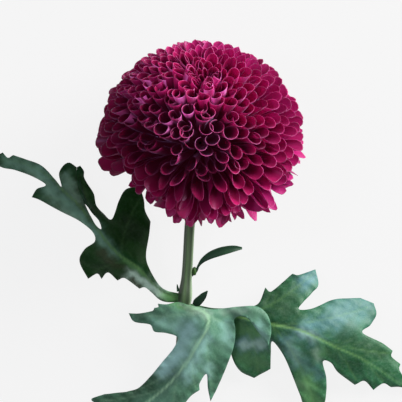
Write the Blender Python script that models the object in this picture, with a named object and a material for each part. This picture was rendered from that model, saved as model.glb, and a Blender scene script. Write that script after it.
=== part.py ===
"""A cut pompon chrysanthemum laid down on a table: flower head, stem and leaves.

The flower lies with its stem along -Y and its head at +Y. The head rests on the tips of its
lower florets, the stem's cut end and the leaf tips touch the table at z = 0. Every length in
this file is in millimetres until put() turns it into metres. The origin is the middle of the
bottom of the object's bounding box.
"""
import math

import bmesh
import bpy
import numpy as np
from mathutils import Vector
from mathutils.geometry import delaunay_2d_cdt

MM = 0.001
CLEARANCE = 0.3                       # air left between two touching pieces

# ---- flower head ----
HEAD_PLAN = (0.0, 35.0)               # the head's centre, seen from above
HEAD_HEIGHT = 26.4                    # the head's centre above the table
HEAD_RADIUS = 37.1                    # from the centre to the tips of the dome's florets
AXIS_ELEVATION = math.radians(54)     # how far the head looks up from the table
AXIS_LEAN = math.radians(7)           # how far it looks towards +X, seen from above
RECEPTACLE_RADIUS = 9.2
RECEPTACLE_END = math.radians(156)    # polar angle where the receptacle narrows to the stem
RECEPTACLE_FOOT = 11.4                # how far below the head's centre it ends
COLLAR_THICKNESS = 1.5                # the ring that joins the florets of one whorl
FLORET_WALL = 0.5
FLOOR_SHARE = 0.42                    # how much of a floret's width its rounded floor takes

# Each whorl of ray florets on the dome: polar angle from the crown and number of florets
DOME_WHORLS = [(4.0, 5), (9.2, 10), (14.4, 15), (19.6, 19), (24.8, 23), (30.0, 26), (36.2, 29),
               (42.4, 31), (48.6, 34), (54.8, 35), (61.0, 36), (67.2, 37), (73.4, 37), (79.6, 36)]
# The spreading skirt draws in under the dome: polar angle, florets and reach
SKIRT_WHORLS = [(85.8, 34, 36.6), (92.0, 32, 34.6), (98.6, 30, 32.2), (106.0, 27, 30.3),
                (114.0, 23, 28.9), (122.0, 18, 28.0)]
WHORLS = [(angle, count, HEAD_RADIUS) for angle, count in DOME_WHORLS] + SKIRT_WHORLS
SKIRT_FROM = 88.0                     # whorls beyond this polar angle have flatter florets
SKIRT_DEPTH = 2.0                     # how deep those flatter florets are
# The skirt isn't even: it is notched on one side of the stem and shorter there
UNEVEN_FROM, UNEVEN_FULL = 66.0, 88.0                      # polar angles
# Middle turn and spread of each change, in degrees, and its share of the reach
UNEVEN_TURNS = [(190.0, 8.0, -0.08), (203.0, 7.0, 0.08), (217.0, 10.0, -0.22),
                (244.0, 12.0, -0.17), (275.0, 20.0, -0.05)]

# Bracts under the head: polar angle, how many and how far they reach
BRACT_WHORLS = [(133.0, 14, 17.5), (144.0, 12, 15.5)]
BRACT_DEPTH = 0.7

# ---- stem ----
STEM_RADIUS = 1.85
STEM_RIDGES = 5
RIDGE_HEIGHT = 0.14
# The route from under the head to the cut end: plan place from the head's centre, and height
STEM_ROUTE = [(-1.9, -13.6, 12.6), (-2.9, -20.5, 10.2), (-4.0, -29.3, 9.4), (-4.75, -43.0, 8.9),
              (-5.6, -54.0, 8.3), (-6.4, -63.0, 7.5), (-7.3, -75.0, 6.2), (-7.6, -92.0, 4.0),
              (-7.6, -107.0, 2.05)]
NECK_RADIUS = 2.6                     # where the stem meets the receptacle
NODE_AT, NODE_SPREAD = -55.0, 4.2     # where the leaves stand and the stem is swollen
NODE_SWELL = 0.75

# ---- leaves ----
LEAF_THICKNESS = 0.5
KEEL_AT_BASE = 1.1                    # how far the midrib stands out under the leaf
KEEL_AT_TIP = 0.2
MARGIN_STEP = 2.6                     # spacing of points along a leaf's margin
BLADE_STEP = 4.6                      # spacing of points inside a leaf's blade
SMOOTH, POINT = False, True

# A margin runs once round its leaf from the petiole, as (x, y, z, SMOOTH or POINT) in plan
# from the head's centre. POINT is a tooth or a lobe's tip. A midrib runs from base to tip.
RIGHT_LEAF = {
    "midrib": [(-3.5, -59.2, 9.0), (5.0, -61.0, 10.5), (14.0, -62.5, 12.5), (25.0, -65.0, 13.2),
               (36.5, -67.5, 14.0), (49.0, -73.5, 12.0), (60.5, -79.0, 8.0), (74.0, -88.5, 3.0)],
    "margin": [
        (-3.3, -57.9, 9.0, SMOOTH), (5.0, -59.5, 10.0, SMOOTH), (14.0, -59.0, 12.0, SMOOTH),
        # first lobe towards the flower, with two teeth
        (20.5, -58.0, 12.0, SMOOTH), (23.5, -52.0, 9.0, POINT), (25.5, -53.5, 10.0, SMOOTH),
        (33.5, -47.0, 7.0, POINT), (35.5, -47.5, 8.0, SMOOTH), (42.0, -45.5, 5.0, POINT),
        (43.0, -51.0, 7.0, SMOOTH), (40.5, -54.0, 9.0, SMOOTH), (35.5, -59.5, 12.4, SMOOTH),
        # second, broad lobe
        (40.5, -59.5, 12.0, SMOOTH), (48.0, -56.5, 9.0, SMOOTH), (54.0, -56.0, 7.5, SMOOTH),
        (58.5, -56.0, 5.5, POINT), (63.5, -58.0, 3.5, POINT), (64.5, -62.0, 4.0, SMOOTH),
        (62.0, -66.0, 6.0, SMOOTH), (59.0, -68.5, 8.5, SMOOTH),
        # end lobe, toothed on both sides
        (66.5, -72.5, 5.5, SMOOTH), (70.5, -75.5, 3.5, POINT), (70.0, -77.5, 4.0, SMOOTH),
        (73.5, -80.5, 2.5, POINT), (73.0, -82.5, 3.0, SMOOTH), (78.5, -91.0, 0.6, POINT),
        (74.0, -89.0, 2.5, SMOOTH), (70.0, -89.0, 2.5, POINT), (67.0, -87.5, 3.5, SMOOTH),
        (63.5, -90.0, 3.0, POINT), (60.0, -86.5, 5.0, SMOOTH), (56.5, -88.0, 4.5, POINT),
        (50.0, -83.0, 7.0, SMOOTH), (47.5, -79.5, 9.0, SMOOTH), (44.5, -79.0, 9.5, SMOOTH),
        # hanging lobe away from the flower
        (46.0, -86.0, 6.5, SMOOTH), (45.5, -94.5, 4.0, SMOOTH), (42.5, -100.5, 0.8, POINT),
        (38.0, -96.0, 3.5, SMOOTH), (36.5, -92.0, 5.0, POINT), (30.5, -77.5, 10.0, SMOOTH),
        (26.0, -71.5, 12.0, SMOOTH),
        # blunt lobe under the front leaf
        (25.5, -76.5, 9.5, SMOOTH), (25.5, -82.0, 6.0, POINT), (19.5, -85.5, 3.5, POINT),
        (14.5, -83.0, 4.5, SMOOTH), (11.5, -78.0, 7.0, SMOOTH), (10.0, -71.0, 9.0, SMOOTH),
        (10.0, -65.5, 10.0, SMOOTH), (3.5, -62.0, 9.5, SMOOTH), (-3.7, -60.5, 9.0, SMOOTH)],
}
FRONT_LEAF = {
    "midrib": [(-7.5, -58.0, 11.6), (-4.3, -58.9, 13.4), (-0.1, -59.8, 15.8), (2.3, -61.5, 17.6),
               (2.9, -64.0, 18.4), (1.2, -68.5, 17.8), (-1.5, -72.5, 16.8), (-4.0, -77.0, 15.5), (-7.0, -81.5, 13.5),
               (-13.0, -88.5, 9.5), (-22.5, -96.5, 5.0)],
    "margin": [
        # lobe to the left of the base, hooked at its tip
        (-8.5, -57.2, 11.4, SMOOTH), (-12.5, -58.0, 11.4, SMOOTH), (-15.8, -57.8, 11.5, POINT),
        (-15.5, -59.0, 11.4, SMOOTH), (-17.0, -59.3, 11.0, POINT), (-17.6, -60.4, 11.0, SMOOTH),
        (-23.0, -61.5, 9.0, SMOOTH),
        (-26.5, -61.5, 7.0, POINT), (-24.5, -64.5, 8.0, SMOOTH), (-18.5, -65.5, 11.0, SMOOTH),
        (-17.0, -68.0, 11.0, SMOOTH), (-12.5, -68.5, 12.0, SMOOTH), (-8.5, -70.0, 13.0, SMOOTH),
        # end lobe, bent down to the table
        (-10.0, -74.0, 12.0, SMOOTH), (-14.0, -79.0, 10.0, POINT), (-18.5, -84.5, 8.5, SMOOTH),
        (-23.0, -89.0, 6.0, SMOOTH), (-27.5, -90.5, 4.5, POINT), (-35.5, -91.5, 3.0, POINT),
        (-40.5, -93.5, 1.5, SMOOTH), (-38.0, -96.0, 2.2, SMOOTH), (-36.0, -102.0, 0.6, POINT),
        (-28.0, -101.5, 3.0, SMOOTH), (-18.5, -100.5, 5.0, POINT), (-12.0, -98.0, 7.0, SMOOTH),
        (-6.5, -95.5, 8.0, POINT), (-4.0, -92.0, 8.5, SMOOTH), (-0.5, -89.5, 8.0, POINT),
        (-0.5, -87.0, 9.0, SMOOTH), (2.0, -83.5, 10.0, SMOOTH),
        # hanging lobe on the right
        (2.5, -89.0, 7.0, SMOOTH), (3.5, -94.0, 4.5, POINT), (5.5, -90.0, 5.5, SMOOTH),
        (7.5, -85.5, 7.0, POINT), (9.5, -80.5, 9.0, SMOOTH), (12.0, -73.0, 12.0, SMOOTH),
        (12.5, -67.0, 14.0, SMOOTH), (12.0, -63.5, 15.5, SMOOTH),
        # curled lobe over the right leaf's petiole
        (14.0, -62.0, 17.0, SMOOTH), (17.0, -63.0, 17.5, SMOOTH), (20.5, -67.5, 16.0, SMOOTH),
        (24.5, -73.0, 13.8, POINT), (25.5, -67.0, 15.6, SMOOTH), (24.0, -61.5, 17.0, SMOOTH),
        (20.0, -58.5, 17.0, SMOOTH), (13.5, -58.6, 16.5, SMOOTH), (5.0, -59.6, 15.8, SMOOTH),
        (-0.2, -59.0, 14.6, SMOOTH), (-4.3, -58.2, 12.6, SMOOTH)],
}
LEFT_LEAF = {
    "midrib": [(-9.0, -56.0, 8.6), (-13.0, -54.0, 10.2), (-18.5, -49.5, 13.0), (-23.0, -44.5, 15.0),
               (-29.5, -40.0, 16.5), (-35.0, -34.0, 17.5), (-41.0, -26.0, 17.5),
               (-45.0, -21.0, 17.5), (-50.0, -16.5, 17.5), (-54.5, -12.0, 15.5),
               (-60.0, -8.5, 11.5), (-67.0, -6.0, 6.0), (-74.0, -5.5, 2.5)],
    "margin": [
        (-8.8, -54.4, 8.6, SMOOTH), (-12.0, -53.2, 10.3, SMOOTH), (-15.0, -51.2, 12.0, SMOOTH),
        # dark lobe that reaches in under the flower
        (-18.5, -45.5, 13.0, SMOOTH), (-20.0, -40.5, 12.0, SMOOTH), (-19.0, -33.0, 7.5, SMOOTH),
        (-18.5, -28.0, 5.0, POINT), (-20.5, -24.0, 4.5, SMOOTH), (-21.0, -20.0, 3.5, SMOOTH),
        (-22.5, -15.0, 2.5, POINT), (-27.5, -16.0, 4.0, SMOOTH), (-30.0, -20.0, 6.0, SMOOTH),
        (-32.5, -27.0, 11.0, SMOOTH),
        # narrow lobe beside it
        (-35.5, -25.0, 10.5, SMOOTH), (-38.0, -22.5, 9.5, SMOOTH), (-39.0, -18.0, 8.0, SMOOTH),
        (-42.0, -13.7, 6.5, SMOOTH), (-43.1, -11.0, 5.5, SMOOTH), (-44.6, -7.3, 4.5, POINT),
        (-45.5, -8.0, 5.0, POINT), (-45.3, -12.5, 7.5, SMOOTH), (-44.2, -17.0, 9.8, SMOOTH),
        (-42.2, -20.2, 11.0, SMOOTH), (-39.3, -24.7, 12.2, SMOOTH), (-37.1, -27.6, 13.2, SMOOTH),
        (-36.2, -30.6, 14.0, SMOOTH),
        # rounded lobe along the midrib, lying edge to edge with the narrow one
        (-38.1, -29.3, 14.0, SMOOTH), (-39.9, -26.2, 13.2, SMOOTH), (-42.7, -20.4, 11.8, SMOOTH),
        (-44.35, -17.1, 10.2, SMOOTH), (-45.45, -12.5, 7.8, SMOOTH), (-45.65, -8.0, 5.5, POINT),
        (-48.2, -6.3, 6.0, SMOOTH), (-50.2, -7.2, 7.0, SMOOTH),
        (-51.8, -10.2, 9.5, SMOOTH), (-50.6, -15.2, 15.0, SMOOTH),
        # end lobe, curved down to the table
        (-53.0, -12.5, 15.0, SMOOTH), (-58.0, -7.5, 12.5, SMOOTH), (-64.5, -5.0, 8.0, SMOOTH),
        (-69.0, -3.5, 5.0, POINT), (-71.0, -4.5, 4.5, SMOOTH), (-73.0, -2.5, 3.0, POINT),
        (-78.5, -5.0, 0.6, POINT), (-73.5, -8.0, 2.5, SMOOTH), (-68.5, -9.0, 4.5, SMOOTH),
        (-61.5, -11.5, 9.0, SMOOTH), (-56.5, -14.5, 12.0, SMOOTH),
        # small lobe on the outer side
        (-60.0, -16.0, 9.0, SMOOTH), (-62.0, -19.0, 7.0, POINT), (-59.0, -20.0, 9.0, SMOOTH),
        (-51.5, -24.0, 12.0, SMOOTH), (-44.5, -27.5, 12.5, SMOOTH), (-39.5, -31.5, 13.5, SMOOTH),
        (-38.5, -35.0, 14.0, SMOOTH),
        # toothed lobe near the base
        (-42.5, -38.0, 10.0, SMOOTH), (-44.5, -42.5, 7.5, SMOOTH), (-41.5, -49.0, 4.5, POINT),
        (-38.0, -47.0, 7.0, SMOOTH), (-36.5, -49.0, 6.5, POINT), (-34.0, -46.5, 9.5, SMOOTH),
        (-30.5, -49.5, 8.0, POINT), (-28.0, -48.5, 9.5, SMOOTH), (-22.5, -52.5, 8.0, POINT),
        (-20.5, -51.9, 9.5, SMOOTH), (-17.8, -54.0, 9.8, SMOOTH), (-15.2, -56.4, 9.6, SMOOTH),
        (-12.0, -57.4, 9.0, SMOOTH), (-9.1, -57.2, 8.5, SMOOTH)],
}

# Small strap-shaped leaves: (x, y, z, half width) along each, from base to tip
STEM_BRACT = [(-1.2, -45.8, 9.4, 0.3), (-0.9, -44.0, 10.0, 0.4), (0.8, -41.9, 10.8, 0.9),
              (3.4, -40.2, 11.5, 1.35), (6.4, -39.0, 12.0, 1.55), (9.4, -38.2, 12.0, 1.45),
              (12.2, -37.7, 11.5, 1.1), (15.0, -37.6, 10.4, 0.4)]
AXIL_LEAFLET = [(-2.6, -58.4, 9.9, 0.7), (-1.3, -57.2, 11.2, 1.5), (0.0, -55.9, 12.0, 1.4),
                (1.1, -54.6, 12.6, 1.1), (2.35, -53.1, 13.0, 0.2)]
LEFT_STIPULE = [(-8.3, -53.4, 10.2, 0.5), (-8.5, -52.1, 10.5, 0.4), (-8.7, -50.8, 10.7, 0.15)]
STRAP_THICKNESS = 0.45
AXIL_BUD = (-2.3, -46.0, 9.2)        # the bud in the bract's axil
AXIL_BUD_RADIUS = (0.65, 1.6, 1.1)

PETAL_COLOUR = (0.19, 0.012, 0.055, 1.0)
STEM_COLOUR = (0.10, 0.17, 0.08, 1.0)
LEAF_COLOUR = (0.045, 0.125, 0.06, 1.0)
BRACT_COLOUR = (0.06, 0.13, 0.045, 1.0)


def clear_scene():
    for old in list(bpy.data.objects):
        bpy.data.objects.remove(old, do_unlink=True)


def material(name, colour, roughness):
    mat = bpy.data.materials.new(name)
    mat.use_nodes = True
    shader = mat.node_tree.nodes["Principled BSDF"]
    shader.inputs["Base Color"].default_value = colour
    shader.inputs["Roughness"].default_value = roughness
    return mat


def put(name, points, faces, mat, smooth=True):
    """Make one closed solid from points in millimetres, counted from the head's plan place."""
    shift = Vector((HEAD_PLAN[0], HEAD_PLAN[1], 0.0))
    bm = bmesh.new()
    verts = [bm.verts.new((Vector(p) + shift) * MM) for p in points]
    for face in faces:
        bm.faces.new([verts[i] for i in face])
    bmesh.ops.triangulate(bm, faces=bm.faces[:])
    bmesh.ops.recalc_face_normals(bm, faces=bm.faces[:])
    mesh = bpy.data.meshes.new(name)
    bm.to_mesh(mesh)
    bm.free()
    if smooth:
        mesh.shade_smooth()
    mesh.materials.append(mat)
    obj = bpy.data.objects.new(name, mesh)
    bpy.context.scene.collection.objects.link(obj)
    return obj


# ---- the head's own directions ----
def head_frame():
    """The head's centre, its axis, and two directions across the axis."""
    flat = math.cos(AXIS_ELEVATION)
    axis = Vector((flat * math.sin(AXIS_LEAN), flat * math.cos(AXIS_LEAN),
                   math.sin(AXIS_ELEVATION)))
    across = axis.cross(Vector((0, 0, 1))).normalized()
    return Vector((0, 0, HEAD_HEIGHT)), axis, across, axis.cross(across)


CENTRE, AXIS, ACROSS, ALONG = head_frame()


def head_point(radius, polar, turn):
    """A point at a distance from the head's centre, by polar angle and turn in radians."""
    spoke = ACROSS * math.cos(turn) + ALONG * math.sin(turn)
    return CENTRE + (AXIS * math.cos(polar) + spoke * math.sin(polar)) * radius


def polar_gap(distance, radius):
    return math.asin(distance / radius)


# ---- whorls ----
def whorl_band(index):
    """Polar angles of the two cones that a whorl keeps between."""
    angles = [whorl[0] for whorl in WHORLS]
    angles.append(2 * angles[-1] - angles[-2])
    first = 1.4 if index == 0 else (angles[index - 1] + angles[index]) / 2
    return math.radians(first), math.radians((angles[index] + angles[index + 1]) / 2)


def unevenness(angle, turn):
    """How much longer or shorter than its whorl a floret is, as a share of its reach."""
    weight = min(1.0, max(0.0, (angle - UNEVEN_FROM) / (UNEVEN_FULL - UNEVEN_FROM)))
    change = 0.0
    for middle, spread, share in UNEVEN_TURNS:
        away = (math.degrees(turn) - middle + 180.0) % 360.0 - 180.0
        change += share * math.exp(-(away / spread) ** 2)
    return weight * change


def collared_ring(count, phase, upper, lower, inner, outer, tip_section):
    """One closed ring whose outer face grows into pieces, one for each cell.

    upper and lower give the polar angle of the ring's sides at a radius. tip_section(turn)
    gives eight points: four from left to right outside, then four from right to left inside.
    """
    points, faces = [], []
    step = 2 * math.pi / count
    for i in range(count):
        edge = phase + (i - 0.5) * step
        for radius in (inner, outer):
            points.append(head_point(radius, upper(radius), edge))
            points.append(head_point(radius, lower(radius), edge))
    for i in range(count):
        here, after = 4 * i, 4 * ((i + 1) % count)
        for a, b in ((0, 1), (2, 0), (1, 3)):
            faces.append((here + a, here + b, after + b, after + a))
        root_up_l, root_dn_l, root_dn_r, root_up_r = here + 2, here + 3, after + 3, after + 2
        tip = len(points)
        points.extend(tip_section(phase + i * step))
        out_l, out_a, out_b, out_r, in_r, in_b, in_a, in_l = range(tip, tip + 8)
        faces += [(root_up_l, root_dn_l, out_a), (root_up_l, out_a, out_l),
                  (root_dn_l, root_dn_r, out_b), (root_dn_l, out_b, out_a),
                  (root_dn_r, root_up_r, out_r), (root_dn_r, out_r, out_b),
                  (root_up_l, out_l, in_l), (root_up_l, in_l, in_a),
                  (root_up_r, root_up_l, in_a), (root_up_r, in_a, in_b),
                  (root_up_r, in_b, in_r), (root_up_r, in_r, out_r),
                  (out_l, out_a, in_a, in_l), (out_a, out_b, in_b, in_a),
                  (out_b, out_r, in_r, in_b)]
    return points, faces


def floret_whorl(index, mat):
    angle, count, even_reach = WHORLS[index]
    first, last = whorl_band(index)
    middle = math.radians(angle)
    flatter = angle > SKIRT_FROM
    inner = RECEPTACLE_RADIUS + CLEARANCE
    outer = inner + COLLAR_THICKNESS
    half_gap = 0.6 * CLEARANCE

    def upper(radius):
        return first + polar_gap(half_gap, radius)

    def lower(radius):
        return last - polar_gap(half_gap, radius)

    def tip_section(turn):
        """A trough, open towards the crown, whose floor reaches further out than its rims."""
        reach = even_reach * (1 + unevenness(angle, turn))
        rim = reach - (3.4 if flatter else 2.6)
        top, bottom = upper(reach), lower(reach)
        if flatter:
            half = SKIRT_DEPTH / reach / 2
            top, bottom = middle - half, middle + half
        half_turn = math.pi / count - 0.35 * CLEARANCE / (reach * math.sin(middle))
        half_turn = max(half_turn, 0.8 * math.pi / count)
        wall_turn = FLORET_WALL / (reach * math.sin(middle))
        wall = FLORET_WALL / reach
        side = min(half_turn, math.pi / count)
        floor = FLOOR_SHARE * side
        return [head_point(rim, top, turn - side),
                head_point(reach, bottom, turn - floor), head_point(reach, bottom, turn + floor),
                head_point(rim, top, turn + side), head_point(rim, top, turn + side - wall_turn),
                head_point(reach, bottom - wall, turn + floor * 0.8),
                head_point(reach, bottom - wall, turn - floor * 0.8),
                head_point(rim, top, turn - side + wall_turn)]

    phase = (index % 2) * math.pi / count
    points, faces = collared_ring(count, phase, upper, lower, inner, outer, tip_section)
    return put("floret_whorl_%02d" % (index + 1), points, faces, mat)


def bract_whorl(index, mat):
    """A ring of flat pointed bracts under the head."""
    angle, count, reach = BRACT_WHORLS[index]
    middle = math.radians(angle)
    half_band = math.radians(4.6)
    inner = RECEPTACLE_RADIUS + CLEARANCE
    outer = inner + 1.0

    def upper(radius):
        return middle - half_band * inner / radius

    def lower(radius):
        return middle + half_band * inner / radius

    def tip_section(turn):
        half_turn = 0.62 * math.pi / count
        half = BRACT_DEPTH / reach / 2
        near = reach - 3.0
        tip_turn = 0.25 * half_turn
        return [head_point(near, middle - half, turn - half_turn),
                head_point(reach, middle + half, turn - tip_turn),
                head_point(reach, middle + half, turn + tip_turn),
                head_point(near, middle - half, turn + half_turn),
                head_point(near, middle - half, turn + half_turn * 0.75),
                head_point(reach, middle, turn + tip_turn * 0.8),
                head_point(reach, middle, turn - tip_turn * 0.8),
                head_point(near, middle - half, turn - half_turn * 0.75)]

    phase = (index % 2) * math.pi / count
    points, faces = collared_ring(count, phase, upper, lower, inner, outer, tip_section)
    return put("bract_whorl_%d" % (index + 1), points, faces, mat)


def receptacle(mat):
    """The button that carries the whorls, turned about the head's axis."""
    sides, rings = 20, 11
    profile = []
    for i in range(1, rings + 1):
        polar = RECEPTACLE_END * i / rings
        profile.append((RECEPTACLE_RADIUS * math.sin(polar), RECEPTACLE_RADIUS * math.cos(polar)))
    profile.append((NECK_RADIUS, -RECEPTACLE_FOOT))
    points = [CENTRE + AXIS * RECEPTACLE_RADIUS]
    for radius, height in profile:
        for j in range(sides):
            turn = 2 * math.pi * j / sides
            spoke = ACROSS * math.cos(turn) + ALONG * math.sin(turn)
            points.append(CENTRE + AXIS * height + spoke * radius)
    foot = len(points)
    points.append(CENTRE - AXIS * RECEPTACLE_FOOT)
    last = 1 + (len(profile) - 1) * sides
    faces = []
    for j in range(sides):
        k = (j + 1) % sides
        faces.append((0, 1 + j, 1 + k))
        faces.append((foot, last + k, last + j))
        for i in range(len(profile) - 1):
            a, b = 1 + i * sides, 1 + (i + 1) * sides
            faces.append((a + j, b + j, b + k, a + k))
    return put("receptacle", points, faces, mat)


# ---- curves ----
def smooth_route(points, steps):
    """A Catmull-Rom curve through the points, with a number of steps for each span."""
    points = [np.array(p, float) for p in points]
    ends = [2 * points[0] - points[1]] + points + [2 * points[-1] - points[-2]]
    route = []
    for i in range(len(points) - 1):
        p0, p1, p2, p3 = ends[i:i + 4]
        for k in range(steps):
            t = k / steps
            route.append(0.5 * (2 * p1 + (p2 - p0) * t + (2 * p0 - 5 * p1 + 4 * p2 - p3) * t ** 2
                                + (3 * p1 - p0 - 3 * p2 + p3) * t ** 3))
    route.append(points[-1])
    return route


def stem(mat):
    """A ridged tube from the receptacle to the cut end."""
    sides = 2 * STEM_RIDGES
    top = CENTRE - AXIS * (RECEPTACLE_FOOT + CLEARANCE)
    route = smooth_route([tuple(top)] + STEM_ROUTE, 3)
    points = []
    for i, place in enumerate(route):
        before = route[max(i - 1, 0)]
        after = route[min(i + 1, len(route) - 1)]
        ahead = Vector(after - before).normalized()
        if i == 0:
            ahead = -AXIS
        side = ahead.cross(Vector((0, 0, 1))).normalized()
        up = side.cross(ahead)
        swell = (NECK_RADIUS - STEM_RADIUS) * max(0.0, 1 - i / 5)
        node = NODE_SWELL * math.exp(-((place[1] - NODE_AT) / NODE_SPREAD) ** 2)
        for j in range(sides):
            turn = 2 * math.pi * j / sides
            radius = STEM_RADIUS + swell + node + RIDGE_HEIGHT * math.cos(turn * STEM_RIDGES)
            points.append(Vector(place) + (side * math.cos(turn) + up * math.sin(turn)) * radius)
    faces = [tuple(range(sides)), tuple(range(len(points) - sides, len(points)))]
    for i in range(len(route) - 1):
        a, b = i * sides, (i + 1) * sides
        for j in range(sides):
            k = (j + 1) % sides
            faces.append((a + j, b + j, b + k, a + k))
    return put("stem", points, faces, mat)


# ---- leaves ----
def margin_route(margin, step):
    """The leaf's outline as a closed list of plan points, cornered at its teeth."""
    places = [np.array(row[:2], float) for row in margin]
    sharp = [row[3] for row in margin]
    count = len(places)
    route = []
    for i in range(count):
        a, b = places[i], places[(i + 1) % count]
        leaving = (b - a) if sharp[i] else (b - places[i - 1]) / 2
        arriving = (b - a) if sharp[(i + 1) % count] else (places[(i + 2) % count] - a) / 2
        length = np.linalg.norm(b - a)
        leaving = leaving * min(1.0, 1.1 * length / max(np.linalg.norm(leaving), 1e-6))
        arriving = arriving * min(1.0, 1.1 * length / max(np.linalg.norm(arriving), 1e-6))
        steps = max(1, round(length / step))
        for k in range(steps):
            t = k / steps
            route.append((2 * t ** 3 - 3 * t ** 2 + 1) * a + (t ** 3 - 2 * t ** 2 + t) * leaving
                         + (3 * t ** 2 - 2 * t ** 3) * b + (t ** 3 - t ** 2) * arriving)
    return route


def height_field(rows):
    """A thin-plate surface through the heights of the rows, as a function of plan places."""
    places = np.array([row[:2] for row in rows], float)
    heights = np.array([row[2] for row in rows], float)
    count = len(places)

    def kernel(distance):
        return distance ** 2 * np.log(distance + 1e-9)

    gaps = np.linalg.norm(places[:, None] - places[None], axis=2)
    system = np.zeros((count + 3, count + 3))
    system[:count, :count] = kernel(gaps) + np.eye(count) * 2.0
    system[:count, count] = system[count, :count] = 1
    system[:count, count + 1:] = places
    system[count + 1:, :count] = places.T
    weights = np.linalg.solve(system, np.append(heights, [0, 0, 0]))

    def height(points):
        points = np.atleast_2d(points)
        distance = np.linalg.norm(points[:, None] - places[None], axis=2)
        return kernel(distance) @ weights[:count] + weights[count] + points @ weights[count + 1:]

    return height


def inside(point, outline):
    """Whether a plan point lies inside a closed outline."""
    x, y = point
    found = False
    for (ax, ay), (bx, by) in zip(outline, np.roll(outline, -1, axis=0)):
        if (ay > y) != (by > y) and x < ax + (y - ay) * (bx - ax) / (by - ay):
            found = not found
    return found


def distance_to_route(point, route):
    """The shortest plan distance from a point to a line of points, and how far along it is."""
    best, place = 1e9, 0.0
    for i in range(len(route) - 1):
        a, b = route[i], route[i + 1]
        t = min(1.0, max(0.0, np.dot(point - a, b - a) / np.dot(b - a, b - a)))
        gap = np.linalg.norm(point - a - t * (b - a))
        if gap < best:
            best, place = gap, (i + t) / (len(route) - 1)
    return best, place


def leaf(name, form, mat):
    """A lobed blade of even thickness with a keel under its midrib."""
    outline = margin_route(form["margin"], MARGIN_STEP)
    height = height_field(form["margin"] + form["midrib"])
    midrib = [p[:2] for p in smooth_route([row[:2] for row in form["midrib"]], 2)]
    closed = outline + [outline[0]]
    inner = [p for p in midrib[1:] if inside(p, outline)
             and distance_to_route(p, closed)[0] > 0.5]
    low, high = np.min(outline, axis=0), np.max(outline, axis=0)
    row = 0
    y = low[1]
    while y < high[1]:
        x = low[0] + (row % 2) * BLADE_STEP / 2
        while x < high[0]:
            p = np.array((x, y))
            if (inside(p, outline) and distance_to_route(p, closed)[0] > 0.45 * BLADE_STEP
                    and distance_to_route(p, midrib)[0] > 0.45 * BLADE_STEP):
                inner.append(p)
            x += BLADE_STEP
        row += 1
        y += BLADE_STEP * 0.87
    flat = [Vector(p) for p in outline + inner]
    border = list(range(len(outline)))
    verts, _, tris, _, _, _ = delaunay_2d_cdt(flat, [], [border], 1, 1e-5)
    places = np.array([v[:] for v in verts])
    tops = height(places)
    count = len(places)
    points = [(x, y, max(z, LEAF_THICKNESS)) for (x, y), z in zip(places, tops)]
    for (x, y), z in zip(places, tops):
        gap, along = distance_to_route(np.array((x, y)), midrib)
        keel = KEEL_AT_BASE + (KEEL_AT_TIP - KEEL_AT_BASE) * along
        depth = LEAF_THICKNESS + keel * math.exp(-(gap / 0.9) ** 2)
        points.append((x, y, max(max(z, LEAF_THICKNESS) - depth, 0.0)))
    faces = [tuple(t) for t in tris] + [tuple(count + i for i in reversed(t)) for t in tris]
    edges = {}
    for t in tris:
        for a, b in zip(t, list(t[1:]) + [t[0]]):
            edges[(a, b)] = edges.get((a, b), 0) + 1
    for a, b in edges:
        if (b, a) not in edges:
            faces.append((b, a, count + a, count + b))
    return put(name, points, faces, mat)


def strap(name, rows, mat):
    """A small lance-shaped leaf with a shallow channel along it."""
    route = smooth_route([row[:3] for row in rows], 2)
    widths = smooth_route([(row[3], 0.0, 0.0) for row in rows], 2)
    points = []
    for i, place in enumerate(route):
        ahead = Vector(route[min(i + 1, len(route) - 1)] - route[max(i - 1, 0)]).normalized()
        side = ahead.cross(Vector((0, 0, 1))).normalized()
        up = side.cross(ahead)
        half = max(float(widths[i][0]), 0.15)
        rise = 0.3 * half
        base = Vector(place)
        points += [base - side * half + up * rise, base,
                   base + side * half + up * rise,
                   base + side * half * 0.9 + up * (rise - STRAP_THICKNESS),
                   base - up * STRAP_THICKNESS,
                   base - side * half * 0.9 + up * (rise - STRAP_THICKNESS)]
    faces = [tuple(range(6)), tuple(range(len(points) - 6, len(points)))]
    for i in range(len(route) - 1):
        for j in range(6):
            k = (j + 1) % 6
            faces.append((6 * i + j, 6 * i + 6 + j, 6 * i + 6 + k, 6 * i + k))
    return put(name, points, faces, mat)


def axil_bud(mat):
    bm = bmesh.new()
    bmesh.ops.create_icosphere(bm, subdivisions=1, radius=1.0)
    points = [tuple(c + v * r for c, v, r in zip(AXIL_BUD, vert.co, AXIL_BUD_RADIUS))
              for vert in bm.verts]
    faces = [tuple(v.index for v in face.verts) for face in bm.faces]
    bm.free()
    return put("axil_bud", points, faces, mat)


def main():
    clear_scene()
    petal = material("petal", PETAL_COLOUR, 0.5)
    stalk = material("stalk", STEM_COLOUR, 0.55)
    blade = material("blade", LEAF_COLOUR, 0.45)
    bract = material("bract", BRACT_COLOUR, 0.55)
    for index in range(len(WHORLS)):
        floret_whorl(index, petal)
    for index in range(len(BRACT_WHORLS)):
        bract_whorl(index, bract)
    receptacle(bract)
    stem(stalk)
    leaf("leaf_right", RIGHT_LEAF, blade)
    leaf("leaf_front", FRONT_LEAF, blade)
    leaf("leaf_left", LEFT_LEAF, blade)
    strap("stem_bract", STEM_BRACT, bract)
    strap("axil_leaflet", AXIL_LEAFLET, bract)
    strap("left_stipule", LEFT_STIPULE, bract)
    axil_bud(bract)


main()
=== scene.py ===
"""The looks of the cut pompon chrysanthemum: quilled florets, ridged stem and veined leaves.

Lengths are in millimetres until build() turns them into metres, and plan places are counted
from the middle of the head, as the model's own parts are.
"""
from collections import namedtuple
from math import cos, degrees, pi, radians, sin
from types import SimpleNamespace

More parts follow.
